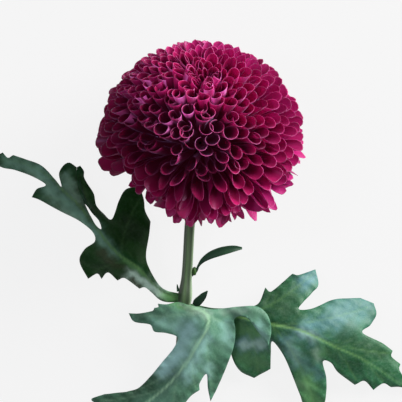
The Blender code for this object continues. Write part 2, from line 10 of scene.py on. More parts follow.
import bpy
import numpy as np
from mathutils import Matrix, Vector
from mathutils.geometry import delaunay_2d_cdt


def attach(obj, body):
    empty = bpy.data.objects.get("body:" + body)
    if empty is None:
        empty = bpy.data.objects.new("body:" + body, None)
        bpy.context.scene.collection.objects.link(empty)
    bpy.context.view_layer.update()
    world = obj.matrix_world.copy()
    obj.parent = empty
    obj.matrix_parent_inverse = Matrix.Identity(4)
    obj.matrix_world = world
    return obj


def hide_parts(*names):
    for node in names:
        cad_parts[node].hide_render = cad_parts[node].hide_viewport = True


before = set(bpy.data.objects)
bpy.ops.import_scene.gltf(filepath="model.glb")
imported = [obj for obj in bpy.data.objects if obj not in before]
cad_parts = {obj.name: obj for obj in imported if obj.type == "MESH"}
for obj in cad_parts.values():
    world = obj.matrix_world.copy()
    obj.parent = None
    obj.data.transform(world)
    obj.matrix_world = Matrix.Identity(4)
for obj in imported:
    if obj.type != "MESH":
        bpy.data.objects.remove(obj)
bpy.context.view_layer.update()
SCENE = bpy.context.scene
RNG = np.random.default_rng(9)  # for shapes
TINT = np.random.default_rng(5)  # for colours
MM = 0.001
TINY = 1e-6
UP = np.array((0, 0, 1))
norm = np.linalg.norm

# ---- flower head ----
HEAD_PLAN = (0, 35)
HEAD_HEIGHT = 26.4
HEAD_RADIUS = 37.1
AXIS_ELEVATION = radians(54)
AXIS_LEAN = radians(7)
RECEPTACLE_RADIUS = 9.2
RECEPTACLE_FOOT = 11.4
# Whorls: angle from the axis, number of florets and, below the dome, their reach
DOME_WHORLS = [
    (4, 5), (9.2, 10), (14.4, 15), (19.6, 19), (24.8, 23), (30, 26), (36.2, 29), (42.4, 31),
    (48.6, 34), (54.8, 35), (61, 36), (67.2, 37), (73.4, 37), (79.6, 36)]
SKIRT_WHORLS = [
    (85.8, 34, 36.6), (92, 32, 34.6), (98.6, 30, 32.2), (106, 27, 30.3), (114, 23, 28.9),
    (122, 18, 28)]
WHORLS = [(angle, count, HEAD_RADIUS) for angle, count in DOME_WHORLS] + SKIRT_WHORLS
UNEVEN_OVER = (66, 88)
UNEVEN_TURNS = [
    (189, 9, 0.03), (203, 7, 0.11), (216, 9, -0.39), (243, 13, -0.24), (285, 20, -0.04),
    (319, 6, 0.08)]
BRACT_WHORLS = [(133, 14, 17.5), (144, 12, 15.5)]

# ---- florets ----
ROOT = RECEPTACLE_RADIUS + 0.4  # where a floret starts, from the head's centre
WALL = 0.11
RIM_BEAD = 0.01  # how much a floret's edge is thickened
LENGTHWISE = np.array((0, .22, .42, .56, .66, .74, .81, .87, .92, .96, .99, 1))
CROSSWISE = np.array((0, .17, .35, .53, .7, .85, .96, 1))
ROOT_ARC = radians(172)  # half way round the tube at its root
TAPER, BEND_POWER, SETTLE = 0.9, 2.2, 0.8
SKEW, RIPPLE, POINTED = 0.35, 0.22, 1.6  # how lopsided, waved and pointed an end can be
FLOOR_REST, FLOOR_SOFT = 0.15, 1.6  # florets that meet the table bend to lie this high
GRAIN_ACROSS, GRAIN_ALONG = 9, 0.12
SHINE_WIDTH = 0.3

# Where florets stand: on a spiral, crowded on one side
GOLDEN_TURN = radians(137.508)  # from one floret to the next
FIRST_ANGLE, LAST_BAND, LEAST_ANGLE = 1.4, 4, 8
CROWDED_TURN, CROWDING = 150, 0.32  # where they are closest, and by how much
UNCROWDED, UNCROWDING = 0.75, (50, 85)
LOOSENING, LOOSER = (48, 80), 1.5
TURN_JITTER, LOOSE_TURN_JITTER, ANGLE_JITTER = 0.012, 0.03, 0.8
REACH_JITTER, REACH_AT_FRONT = (-1.1, 0.4), 1.2
CROWN_DIP, CROWN_DIP_ENDS = 1.4, (3, 18)

# Regions of the head: the middle and spread of the side they are on, and the angles from the
# axis between which they begin and fade.
Region = namedtuple("Region", "side begins fades", defaults=(None, None, None))
REGIONS = {
    "all": Region(),
    "tip": Region(fades=(5, 20)),
    "crown": Region(fades=(10, 42)),
    "oblique": Region(begins=(14, 46)),
    "shoulder": Region(begins=(36, 56)),
    "skirt": Region(begins=(64, 92)),
    "hanging": Region((262, 56), (54, 66)),  # open, on the stem's side
    "front": Region((272, 52), (26, 46)),  # widest and least even
    "narrow": Region((265, 70), (8, 24)),
    "level": Region((270, 75), fades=(26, 50)),
    "leaning": Region((270, 75), (4, 14), (26, 50)),
    "cupped": Region((188, 46), (12, 26), (52, 68)),  # turned to the top side
    "turned_back": Region((188, 46), (58, 76)),  # and below that, away from it
    "slim": Region((92, 58), (12, 30)),
    "soft": Region((195, 28), (60, 80)),
    # where the painted shade of the throats is lighter, and where it is deeper
    "light_side": Region((25, 80)),
    "deep_front": Region((258, 45), (12, 30), (58, 76)),
}
# How much each region adds to a floret's measures, in millimetres, degrees or shares: "half" is
# half its width, "cut" how much shorter its sides are, "fade" where the painted shade of its
# throat gives way to its lighter end.
MEASURES = {
    "half_share": {"all": 0.48, "open": 0.02, "front": 0.06},
    "half_most": {"all": 2.3, "open": 0.9, "front": 0.2},
    "depth": {"all": 1.85, "crown": 0.1, "open": -0.2, "hanging": 0.3},
    "arc": {"all": 164, "open": -74, "hanging": 14},
    "cut": {"all": 4.2, "oblique": 3},
    "bend": {"crown": -24, "closed": -4, "open": 8, "hanging": 24, "leaning": 18, "cupped": -12},
    "rolled": {"cupped": 40, "turned_back": -28},
    "pinch": {"tip": 0.4},
    "flare": {"all": 0.24, "open": -0.12},
    "blunt": {"all": 1.8, "shoulder": 0.5, "open": -0.3, "slim": -0.6, "soft": 1.2},
    "fade": {"all": 0.8, "open": -0.75},
}
HANGING_OPEN = 0.8
SLIMMER, NARROWER, STRAIGHTER, OPEN_CUT = 0.1, 0.1, 0.68, 6.5
TEETH, TEETH_SOFTER = 0.6, 0.7
CALM, WILD_CROWN = 0.6, 0.4
# How far the painted throat shade reaches: less on the lit side, more at the front
FADE_MOST, FADE_LESS, FADE_FRONT = 0.92, 0.8, 0.35
# Random changes: (measure, least, most, how much more at the front)
STRETCHES = [("half", -0.2, 0.1, 0.16), ("depth", -0.2, 0.15, 0), ("cut", -0.35, 0.35, 0),
             ("blunt", -0.25, 0.3, 0), ("arc", -0.12, 0.04, 0)]
BENDS = [("bend", radians(18), 0.4), ("sway", 1.9, 0.7), ("slant", 0.2, 0),
         ("twist", 0.5, 0.8), ("rolled", 0.42, 1.2)]

# Colours over the head: (amount, region)
# Painted sheen: a violet tint on the head's edges, top and front skirt, where the petals would
# shine
PAINTED_VIOLET_SHEEN = [
    (1, Region((345, 55), (62, 88))), (0.65, Region((75, 55), (16, 40))),
    (0.5, Region((20, 50), (20, 50))), (0.4, Region((260, 40), (66, 90)))]
# Where the painted gleams fall: painted highlights on the florets' backs
PAINTED_GLEAM_SIDES = [
    (1, Region((210, 75), fades=(45, 62))), (0.5, Region((90, 50))), (0.65, Region(fades=(10, 35)))]
# Painted light: lighter florets on the crown, on the top side and at the front
PAINTED_LIGHT = [(1, Region(fades=(12, 40))), (1, Region((55, 90))), (0.5, Region((290, 60)))]
# Rims lighter at the front and dimmer on the right, as painted light and shade on a pale margin
EDGE_SIDES = [(-0.45, Region((15, 70))), (0.3, Region((262, 50)))]
# Painted shade: florets darker over the side of the head away from the light
PAINTED_SHADE, PAINTED_SHADE_SIDE = 0.62, Region((205, 62), (24, 60))
EVEN_SIDE = Region((20, 80))
TONE, PAINTED_LIGHTER, MOTTLE, MOTTLE_LESS = 0.92, 0.26, 0.3, 0.18
# Painted gleams: how strong they are, which florets get one, and where across the floret it lies
PAINTED_GLEAM_GAIN, PAINTED_GLEAM_ODDS, SHINE_RANGE = 1.2, (0.55, 0.75), (0.3, 0.95)
# Rims: random lightness, with painted shade on the shaded side
EDGE_RANGE, EDGE_SHADED = (-0.7, 0.6), 0.9
PETAL_GLOW = (0.0077, 0.0002, 0.0016, 1)  # painted glow on every floret, standing in for light that comes through them
PAINTED_GLEAM_GLOW = (0.34, 0.045, 0.2, 1)  # and a stronger painted glow on the painted gleams, a painted reflection off the florets' backs

# ---- stem and small leaves ----
STEM_RADIUS, NECK_RADIUS = 1.85, 2.6
STEM_RIDGES, RIDGE_HEIGHT = 5, 0.3
STEM_STEPS, NECK_STEPS = 14, 24  # for each span of the route, and along the neck
NODE_AT, NODE_SPREAD, NODE_SWELL = -55, 4.2, 0.75
STEM_ROUTE = [
    (-1.9, -13.6, 12.6), (-2.9, -20.5, 10.2), (-4, -29.3, 9.4), (-4.75, -43, 8.9), (-5.6, -54, 8.3),
    (-6.4, -63, 7.5), (-7.3, -75, 6.2), (-7.6, -92, 4), (-7.6, -107, 2.05)]
# Small leaves: rows of (x, y, height, half the width)
STRAPS = {
    "stem_bract": [(-3.6, -47.6, 9, 0.6), (-1.8, -46, 9.3, 0.5), (-0.9, -44, 10, 0.45),
                   (0.8, -41.9, 10.8, 0.9), (3.4, -40.2, 11.5, 1.35), (6.4, -39, 12, 1.55),
                   (9.4, -38.2, 12, 1.45), (12.2, -37.7, 11.5, 1.1), (15, -37.6, 10.4, 0.4)],
    "axil_leaflet": [(-2.6, -58.4, 9.9, 0.7), (-1.3, -57.2, 11.2, 1.5), (0, -55.9, 12, 1.4),
                     (1.1, -54.6, 12.6, 1.1), (2.35, -53.1, 13, 0.2)],
    "left_stipule": [(-8.3, -53.4, 10.2, 0.5), (-8.5, -52.1, 10.5, 0.4), (-8.7, -50.8, 10.7, 0.15)],
}
LEFT_SEAM_SHADE = [(-45.4, -9, 4.9, 0.5), (-45.1, -12.5, 6.9, 0.8), (-44.2, -16.5, 9, 0.8),
             (-42.7, -19.8, 10.7, 0.7), (-41, -22.4, 11.3, 0.3)]  # dark green strip, painted shade under two lobes' seam
AXIL_BUD, AXIL_BUD_RADIUS = (-2.45, -46, 9.2), (0.9, 1.6, 1.2)
BRACT_LIFT = 0.5
BRACT_OUTLINE = [(0, 1), (0.3, 1.5), (0.6, 1.6), (0.85, 1), (1, 0.15)]

# ---- blades ----
LEAF_THICKNESS = 0.36
KEEL_AT_BASE, KEEL_AT_TIP, KEEL_WIDTH = 1.1, 0.2, 0.8
MARGIN_STEP, MARGIN_PULL = 0.8, 1.1
BLADE_STEP, MIDRIB_STEPS = 0.8, 6
SURFACE_EASE = 2  # how freely a blade passes by its given heights
MIDRIB_WIDTH, MIDRIB_NARROWS = 0.55, 0.2
SIDE_VEIN_WIDTH, SIDE_VEIN_SHARE, SIDE_VEIN_KEEL = 0.38, 0.2, 0.3
SMALL_VEIN_WIDTH, SMALL_VEIN_SHARE = 0.3, 0.08
BRANCH_SPACING, BRANCH_REACH = 4.2, 5
VEIN_SINK, PANEL_RISE, PANEL_WIDTH = 0.3, 0.22, 1.1
# The dip beside the midrib sinks and gets painted shade
DIP_AT, DIP_WIDTH, DIP_SINK, DIP_PAINTED_SHADE, DIP_FADES = 1, 0.6, 0.15, 0.85, 0.4
MARGIN_WAVE, BLADE_WAVE = 0.35, 0.3
EDGE_SHARE = 0.35  # how thick the margin is, as a share of the blade
LOWEST_TOP, LOWEST_BOTTOM = 0.45, 0.1
# Rows are (x, y, height). In a margin, a row in square brackets is a sharp corner.

RIGHT_MIDRIB = [
    (-3.5, -59.2, 9), (5, -61, 10.5), (14, -62.5, 12.5), (25, -65, 13.2), (36.5, -67.5, 14),
    (49, -73.5, 12), (60.5, -79, 8), (74, -88.5, 3)]
RIGHT_MARGIN = [
    (-5, -57.9, 8.8), (5, -59.5, 10), (14, -59, 12),
    # lobe towards the flower
    (20.5, -58, 12), [23.5, -52, 9], (25.5, -53.5, 10), [33.5, -47, 7], (35.5, -47.5, 8),
    [42, -45.5, 5], (43, -51, 7), (40.5, -54, 9), (35.5, -59.5, 12.4),
    # broad lobe
    (40.5, -59.5, 12), (48, -56.5, 9), (54, -56, 7.5), [58.5, -56, 5.5], [63.5, -58, 3.5],
    (64.5, -62, 4), (62, -66, 6), (59, -68.5, 8.5),
    # end lobe
    (66.5, -72.5, 5.5), [70.5, -75.5, 3.5], (70, -77.5, 4), [73.5, -80.5, 2.5], (73, -82.5, 3),
    [78.5, -91, 0.6], (74, -89, 2.5), [70, -89, 2.5], (67, -87.5, 3.5), [63.5, -90, 3],
    (60, -86.5, 5), [56.5, -88, 4.5], (50, -83, 7), (47.5, -79.5, 9), (44.5, -79, 9.5),
    # hanging lobe
    (46, -86, 6.5), (45.5, -94.5, 4), [42.5, -100.5, 0.8], (38, -96, 3.5), [36.5, -92, 5],
    (30.5, -77.5, 10), (26, -71.5, 12),
    # lobe under the front leaf
    (25.5, -76.5, 9.5), [25.5, -82, 6], [19.5, -85.5, 3.5], (14.5, -83, 4.5), (11.5, -78, 7),
    (10, -71, 9), (10, -65.5, 10), (3.5, -62, 9.5), (-5.4, -60.5, 8.8)]
FRONT_MIDRIB = [
    (-7.5, -58, 11.6), (-4.3, -58.9, 13.4), (-0.1, -59.8, 15.8), (2.3, -61.5, 17.6),
    (2.9, -64, 18.4), (1.2, -68.5, 17.8), (-1.5, -72.5, 16.8), (-4, -77, 15.5), (-7, -81.5, 13.5),
    (-13, -88.5, 9.5), (-22.5, -96.5, 5)]
FRONT_MARGIN = [
    # hooked lobe left of the base
    (-8.5, -57.2, 11.4), (-12.5, -58, 11.4), [-15.8, -57.8, 11.5], (-15.5, -59, 11.4),
    [-17, -59.3, 11], (-17.6, -60.4, 11), (-23, -61.5, 9), [-26.5, -61.5, 7], (-24.5, -64.5, 8),
    (-18.5, -65.5, 11), (-17, -68, 11), (-12.5, -68.5, 12), (-8.5, -70, 13),
    # end lobe
    (-10, -74, 12), [-14, -79, 10], (-18.5, -84.5, 8.5), (-23, -89, 6), [-27.5, -90.5, 4.5],
    [-35.5, -91.5, 3], (-40.5, -93.5, 1.5), (-38, -96, 2.2), [-36, -102, 0.6], (-28, -101.5, 3),
    [-18.5, -100.5, 5], (-12, -98, 7), [-6.5, -95.5, 8], (-4, -92, 8.5), [-0.5, -89.5, 8],
    (-0.5, -87, 9), (2, -83.5, 10),
    # hanging lobe
    (2.5, -89, 7), [3.5, -94, 4.5], (5.5, -90, 5.5), [7.5, -85.5, 7], (9.5, -80.5, 9),
    (12, -73, 12), (12.5, -67, 14), (12, -63.5, 15.5),
    # curled lobe over the right leaf
    (14, -62, 17), (17, -63, 17.5), (20.5, -67.5, 16), [24.5, -73, 13.8], (25.5, -67, 15.6),
    (24, -61.5, 17), (20, -58.5, 17), (13.5, -58.6, 16.5), (5, -59.6, 15.8), (-0.2, -59, 14.6),
    (-4.3, -58.2, 12.6)]
LEFT_MIDRIB = [
    (-9, -56, 8.6), (-13, -54, 10.2), (-18.5, -49.5, 13), (-23, -44.5, 15), (-29.5, -40, 16.5),
    (-35, -34, 17.5), (-41, -26, 17.5), (-45, -21, 17.5), (-50, -16.5, 17.5), (-54.5, -12, 15.5),
    (-60, -8.5, 11.5), (-67, -6, 6), (-74, -5.5, 2.5)]
LEFT_MARGIN = [
    (-6.8, -54.6, 8.6), (-12, -53.2, 10.3), (-15, -51.2, 12),
    # lobe under the flower
    (-18.5, -45.5, 13), (-20, -40.5, 12), (-19, -33, 7.5), [-18.5, -28, 5], (-20.5, -24, 4.5),
    (-21, -20, 3.5), [-22.5, -15, 2.5], (-27.5, -16, 4), (-30, -20, 6), (-32.5, -27, 11),
    # narrow lobe beside it
    (-35.5, -25, 10.5), (-38.2, -22, 9.5), (-39.2, -17.8, 8), (-41.5, -14.2, 6.5),
    (-42.9, -11.6, 5.8), (-43, -9.4, 5), [-44.4, -7.4, 4.5], [-45.6, -8, 5.4], (-45.4, -12.5, 7.7),
    (-44.3, -17.1, 10.1), (-42.6, -20.3, 11.6), (-39.5, -24.9, 12.3), (-37.1, -27.6, 13.2),
    (-36.2, -30.6, 14),
    # rounded lobe, edge to edge with the narrow one
    (-38.1, -29.3, 14), (-39.9, -26.2, 13.2), (-42.7, -20.4, 11.8), (-44.35, -17.1, 10.2),
    (-45.45, -12.5, 7.8), [-45.65, -8, 5.5], (-48.2, -6.3, 6), (-50.2, -7.2, 7),
    (-51.8, -10.2, 9.5), (-50.6, -15.2, 15),
    # end lobe
    (-53, -12.5, 15), (-58, -7.5, 12.5), (-64.5, -5, 8), [-69, -3.5, 5], (-71, -4.5, 4.5),
    [-73, -2.5, 3], [-78.5, -5, 0.6], (-73.5, -8, 2.5), (-68.5, -9, 4.5), (-61.5, -11.5, 9),
    (-56.5, -14.5, 12),
    # small outer lobe
    (-60, -16, 9), [-62, -19, 7], (-59, -20, 9), (-51.5, -24, 12), (-44.5, -27.5, 12.5),
    (-39.5, -31.5, 13.5), (-38.5, -35, 14),
    # toothed lobe near the base
    (-42.5, -38, 10), (-44.5, -42.5, 7.5), [-41.5, -49, 4.5], (-38, -47, 7), [-36.5, -49, 6.5],
    (-34, -46.5, 9.5), [-30.5, -49.5, 8], (-28, -48.5, 9.5), [-22.5, -52.5, 8], (-20.5, -51.9, 9.5),
    (-17.8, -54, 9.8), (-15.2, -56.4, 9.6), (-12, -57.4, 9), (-6.8, -57, 8.5)]

# Marks on the blades, each a stroke: (from x, y, to x, y, spread, amount). Bloom is a pale
# film of wax with a painted sheen over it, shade is painted shade, and the pale and fresh
# marks are partly painted light.
MARKS = ("bloom_and_sheen", "shade", "pale", "fresh_and_painted_light", "withered")
RIGHT_MARKS = {
    "bloom_and_sheen": [(38, -50, 41, -48, 3.2, 0.8), (51, -60.5, 59, -59.5, 6, 0.6),
              (40, -65.5, 48, -64, 3, 0.7), (36.5, -68, 41.5, -70.5, 2.8, 0.95),
              (31.5, -71.5, 35.5, -79, 2.4, 1), (38, -81, 43, -84, 2.6, 0.55),
              (15, -72.5, 22, -72, 2.6, 0.95)],
    "shade": [(22.5, -54, 31, -60.5, 5.4, 1), (25, -68, 29, -72, 3, 0.9),
              (51, -70, 66, -76.5, 4, 0.85), (38.5, -74, 40.5, -78, 2.4, 0.3),
              (31, -54.5, 36, -50.5, 2.8, 0.6)],
    "pale": [(42, -75.5, 42.8, -78, 1.5, 0.3), (35, -87, 38.5, -88.5, 1.2, 0.25),
             (15.5, -72.8, 22.5, -72.4, 1.8, 0.45), (32, -72.5, 35, -78.5, 1.6, 0.2),
             (37, -68, 41, -70, 1.8, 0.3)],
    "fresh_and_painted_light": [(14, -67, 21, -69, 2.4, 0.6), (15, -78, 22.5, -79.5, 3.4, 0.4),
              (38, -88, 42, -98, 4, 0.7), (33, -73, 39, -86, 2.8, 0.35),
              (42.5, -70.5, 45, -75.5, 2.2, 0.35)],
}
FRONT_MARKS = {
    "bloom_and_sheen": [(-4, -66.5, -7.5, -74, 3.2, 0.9), (-8.5, -76, -13.5, -82, 3, 0.9),
              (2.4, -69.5, -5.5, -84.5, 2.2, 0.6), (8.5, -65.5, 9.5, -70.5, 2.2, 0.45),
              (2.6, -80.5, 2.6, -83.5, 1.6, 0.6), (21, -65.5, 22.5, -69, 1.6, 0.5),
              (-16.5, -64.5, -9, -66, 1.8, 0.25)],
    "shade": [(-12.5, -83.5, -26, -90.5, 5.4, 1), (-3.5, -88, -8, -93, 3.2, 0.75),
              (-28, -92.5, -38, -94, 4.2, 0.95), (-22, -61.8, -13, -61, 2.8, 0.6),
              (4.5, -72, 6.5, -79, 2.4, 0.45), (7.5, -80.5, 5, -88, 2.4, 0.6),
              (-26, -62, -22, -63.5, 1.8, 0.6), (9, -60.8, 20, -60.4, 1.6, 0.55),
              (22.5, -61, 24.3, -68, 1.4, 0.5)],
    "pale": [(-4, -59.5, 2, -61, 1.8, 0.4), (8, -60.2, 16, -59.8, 1.6, 0.2)],
    "fresh_and_painted_light": [(-10.5, -57.6, -3.5, -59, 1.5, 0.6)],
}
LEFT_MARKS = {
    "bloom_and_sheen": [(-71, -6, -60, -9, 3, 0.75), (-59, -10.5, -54, -13.5, 2.6, 0.8),
              (-54.5, -17, -46.5, -22.5, 3.2, 0.9), (-45.5, -24, -39, -30.5, 2.6, 0.9),
              (-38.5, -31.5, -31.5, -39.5, 2, 0.75), (-49, -11.5, -46.5, -18, 1.8, 0.8)],
    "shade": [(-61, -18.5, -57, -17, 1.8, 0.9), (-50, -7, -43.5, -9, 2.2, 0.9)],
    "pale": [(-25.5, -47, -14, -54.3, 1.8, 1)],
    "fresh_and_painted_light": [(-13.5, -54.8, -7, -56.5, 1.8, 0.75), (-28, -42, -20.5, -47.5, 0.7, 0.5)],
    "withered": [(-36, -39, -33, -41.5, 1.9, 0.7), (-32.5, -43, -28.5, -44.5, 1.4, 0.6),
                 (-25, -49, -22.5, -51.5, 0.9, 0.95)],
}

# Side veins: (how far along the midrib, x and y of the end)
RIGHT_VEINS = [
    (0.3, 40.5, -47.5), (0.3, 21, -83), (0.47, 61, -59.5), (0.43, 42.3, -97), (0.68, 70, -76.5),
    (0.7, 57, -86), (0.85, 68, -88)]
FRONT_VEINS = [
    (0.2, -25, -62), (0.25, 23, -70), (0.42, 4.5, -91), (0.5, -16, -79.5), (0.66, -1.5, -90.5),
    (0.72, -27, -91.5), (0.82, -10, -97), (0.9, -37, -94)]
LEFT_VEINS = [
    (0.2, -21.5, -51.5), (0.3, -40, -47), (0.32, -22, -18.5), (0.46, -43.5, -10.5),
    (0.58, -48.5, -8.5), (0.56, -60.5, -18.5), (0.85, -70, -4.5)]


# ---- geometry helpers ----
def add(name, data, location=(0, 0, 0)):
    piece = bpy.data.objects.new(name, data)
    piece.location = location
    SCENE.collection.objects.link(piece)
    return piece


def build(name, node, mat, points, faces, layers=None):
    """A closed mesh in place of a node, from plan places in millimetres and named layers."""
    points = (np.asarray(points, float) + (*HEAD_PLAN, 0)) * MM
    mesh = bpy.data.meshes.new(name)
    mesh.from_pydata(points.tolist(), [], faces)
    for layer, values in (layers or {}).items():
        values = np.asarray(values, np.float32)
        kind = "FLOAT" if values.ndim == 1 else "FLOAT_VECTOR"
        attribute = mesh.attributes.new(layer, kind, "POINT")
        attribute.data.foreach_set("value" if kind == "FLOAT" else "vector", values.ravel())
    mesh.validate()
    mesh.shade_smooth()
    mesh.materials.append(mat)
    piece = add(name, mesh)
    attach(piece, "root")
    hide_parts(node)


def unit(v):
    return v / norm(v)


def ease(x, low, high):
    t = np.clip((x - low) / (high - low), 0, 1)
    return t * t * (3 - 2 * t)


def near(gap, width):
    """1 close to a line or place, falling to 0 away from it."""
    return np.exp(-(gap / width) ** 2)


def smooth_route(points, steps):
    """A Catmull-Rom curve through the points."""
    points = [np.array(p, float) for p in points]
    ends = [2 * points[0] - points[1]] + points + [2 * points[-1] - points[-2]]
    route = []
    for i in range(len(points) - 1):
        p0, p1, p2, p3 = ends[i:i + 4]
        for t in np.arange(steps) / steps:
            route.append(0.5 * (2 * p1 + (p2 - p0) * t + (2 * p0 - 5 * p1 + 4 * p2 - p3) * t ** 2
                                + (3 * p1 - p0 - 3 * p2 + p3) * t ** 3))
    route.append(points[-1])
    return route


def frame_of(way):
    """The level direction across a way, and the one that stands up from both."""
    side = unit(np.cross(way, UP))
    return side, np.cross(side, way)


def directions(route):
    """The direction of a route at each of its points."""
    ends = [route[0], *route, route[-1]]
    return [unit(b - a) for a, b in zip(ends, ends[2:])]


CENTRE = UP * HEAD_HEIGHT
FLAT = cos(AXIS_ELEVATION)
AXIS = np.array((FLAT * sin(AXIS_LEAN), FLAT * cos(AXIS_LEAN), sin(AXIS_ELEVATION)))
ACROSS = unit(np.cross(AXIS, UP))
ALONG = np.cross(AXIS, ACROSS)


# ---- materials ----
class Nodes:
    """Short names for a material's shader nodes."""

    def __init__(self, name):
        self.mat = bpy.data.materials.new(name)
        self.mat.use_nodes = True
        self.tree = self.mat.node_tree
        self.shader = self.tree.nodes["Principled BSDF"]

    def put(self, value, socket):
        """Links an output to a socket, or sets the socket to a plain value."""
        if isinstance(value, bpy.types.NodeSocket):
            self.tree.links.new(value, socket)
        else:
            socket.default_value = value

    def new(self, kind, inputs=None, **settings):
        node = self.tree.nodes.new("ShaderNode" + kind)
        for key, value in settings.items():
            setattr(node, key, value)
        for key, value in (inputs or {}).items():
            self.put(value, node.inputs[key])
        return node

    def layer(self, name, output="Fac"):
        return self.new("Attribute", attribute_name=name).outputs[output]

    def position(self):
        return self.new("TexCoord").outputs["Object"]

    def math(self, operation, a, b):
        return self.new("Math", {0: a, 1: b}, operation=operation).outputs[0]

    def times(self, a, b):
        return self.math("MULTIPLY", a, b)

    def mix(self, factor, a, b):
        """A colour between a and b, which are inputs 6 and 7 of the node."""
        return self.new("Mix", {0: factor, 6: a, 7: b}, data_type="RGBA").outputs[2]

    def coats(self, colour, *coats):
        """A colour with others laid over it, each with its own share."""
        for share, coat in coats:
            colour = self.mix(share, colour, coat)
        return colour

    def span(self, value, low, high, to_low, to_high):
        return self.new("MapRange", {0: value, 1: low, 2: high, 3: to_low, 4: to_high}).outputs[0]

    def noise(self, vector, scale, detail=4, roughness=0.6):
        inputs = {"Vector": vector, "Scale": scale, "Detail": detail, "Roughness": roughness}
        return self.new("TexNoise", inputs).outputs["Fac"]

    def bump(self, height, strength=0.3, distance=0.0003):
        inputs = {"Height": height, "Strength": strength, "Distance": distance}
        self.put(self.new("Bump", inputs).outputs[0], self.shader.inputs["Normal"])

    def finish(self, **sockets):
        for key, value in sockets.items():
            self.put(value, self.shader.inputs[key.replace("_", " ")])
        return self.mat


def rgb(red, green, blue):
    """A colour given as it looks on screen, from 0 to 255."""
    linear = [c / 255 / 12.92 if c <= 10 else ((c / 255 + 0.055) / 1.055) ** 2.4
              for c in (red, green, blue)]
    return (*linear, 1)


def petal_material():
    """Crimson velvet, darker in a floret's throat than at its end, partly its own colour and partly
    painted shade, with painted gleams and a painted glow.
    """
    n = Nodes("petal_velvet")
    rim, reach, gleam = n.layer("rim"), n.layer("reach"), n.layer("gleam")
    streak = n.noise(n.layer("grain", "Vector"), scale=1)
    # darker towards the root, inside and out: partly the petals' own colour, partly painted shade
    # of the throats and the gaps between florets
    inside = n.mix(n.math("POWER", reach, 2.5), rgb(54, 4, 26), rgb(136, 16, 67))
    colour = n.coats(rgb(92, 8, 44), (reach, rgb(156, 20, 84)),
                     (n.math("POWER", reach, 5), rgb(164, 34, 102)),
                     (n.layer("inner"), inside),
                     (n.span(streak, 0.35, 0.7, 0, 0.35), rgb(96, 0, 48)),
                     # painted sheen: a violet tint over some sides of the head
                     (n.times(n.layer("violet"), 0.6), rgb(148, 26, 104)),
                     (n.times(rim, 0.4), rgb(206, 112, 168)),  # a pale margin, lighter where painted light falls on it
                     (n.times(rim, -0.75), rgb(62, 4, 30)))  # or a darker edge, partly random, partly painted shade
    # tone: random lightness, with painted light and painted shade by side of the head
    scale = {0: colour, 3: n.span(n.layer("tone"), 0, 2, 0, 2.5)}
    colour = n.new("VectorMath", scale, operation="SCALE").outputs[0]
    # painted glow: faint on every floret, stronger at the painted gleams
    glow = n.mix(n.math("POWER", gleam, 1.5), PETAL_GLOW, PAINTED_GLEAM_GLOW)
    n.bump(streak, strength=0.2)
    # painted gleams: a light lilac painted highlight laid over the base colour
    return n.finish(Base_Color=n.mix(gleam, colour, rgb(255, 150, 226)), Roughness=0.38,
                    Emission_Color=glow, Emission_Strength=1,
                    Sheen_Weight=0.25, Sheen_Roughness=0.3, Sheen_Tint=(0.8, 0.5, 1, 1),
                    Subsurface_Weight=0.25, Subsurface_Radius=(1, 0.2, 0.6),
                    Subsurface_Scale=0.0008, Specular_IOR_Level=0.45,
                    Specular_Tint=(0.95, 0.6, 1, 1))


def leaf_material(name, top, top_dark, under, vein, bloom_sheen_colour, speckle, gloss):
    """A blade's two sides, with marks over the upper one, among them painted sheen, painted shade
    and painted light.
    """
    n = Nodes(name)
    marks = {mark: n.layer(mark) for mark in ("upper", "vein") + MARKS}
    spot = n.position()
    blotch = n.noise(spot, scale=150, detail=3, roughness=0.5)
    fine = n.noise(spot, scale=1100, roughness=0.7)
    specks = n.times(n.span(fine, 0.45, 0.75, 0, speckle), n.span(marks["shade"], 0, 1, 1, 0.35))
    face = n.coats(top_dark, (n.span(blotch, 0.35, 0.65, 0, 1), top),
                   # painted shade
                   (n.times(marks["shade"], 0.85), rgb(16, 58, 28)),
                   # bloom: a film of wax, with painted sheen where the blade would shine
                   (n.times(marks["bloom_and_sheen"], n.span(blotch, 0.3, 0.7, 0.65, 1)), bloom_sheen_colour),
                   (specks, rgb(128, 168, 150)),
                   # pale marks: partly a pale petiole, partly painted light on shaded lobes
                   (marks["pale"], rgb(182, 212, 192)),
                   # fresh marks: partly a brighter green, partly painted light on shaded lobes
                   (marks["fresh_and_painted_light"], rgb(92, 144, 88)),
                   (n.times(marks["vein"], 0.85), vein),
                   (marks["withered"], n.mix(fine, rgb(26, 34, 20), rgb(70, 78, 48))))
    n.bump(n.math("ADD", fine, n.times(marks["vein"], -0.5)), distance=0.0004)
    return n.finish(Base_Color=n.mix(marks["upper"], under, face),
                    Roughness=n.span(fine, 0.3, 0.7, 0.42, 0.58), Specular_IOR_Level=gloss,
                    Sheen_Weight=0.2 * gloss, Sheen_Roughness=0.45, Sheen_Tint=(0.6, 0.9, 0.9, 1))


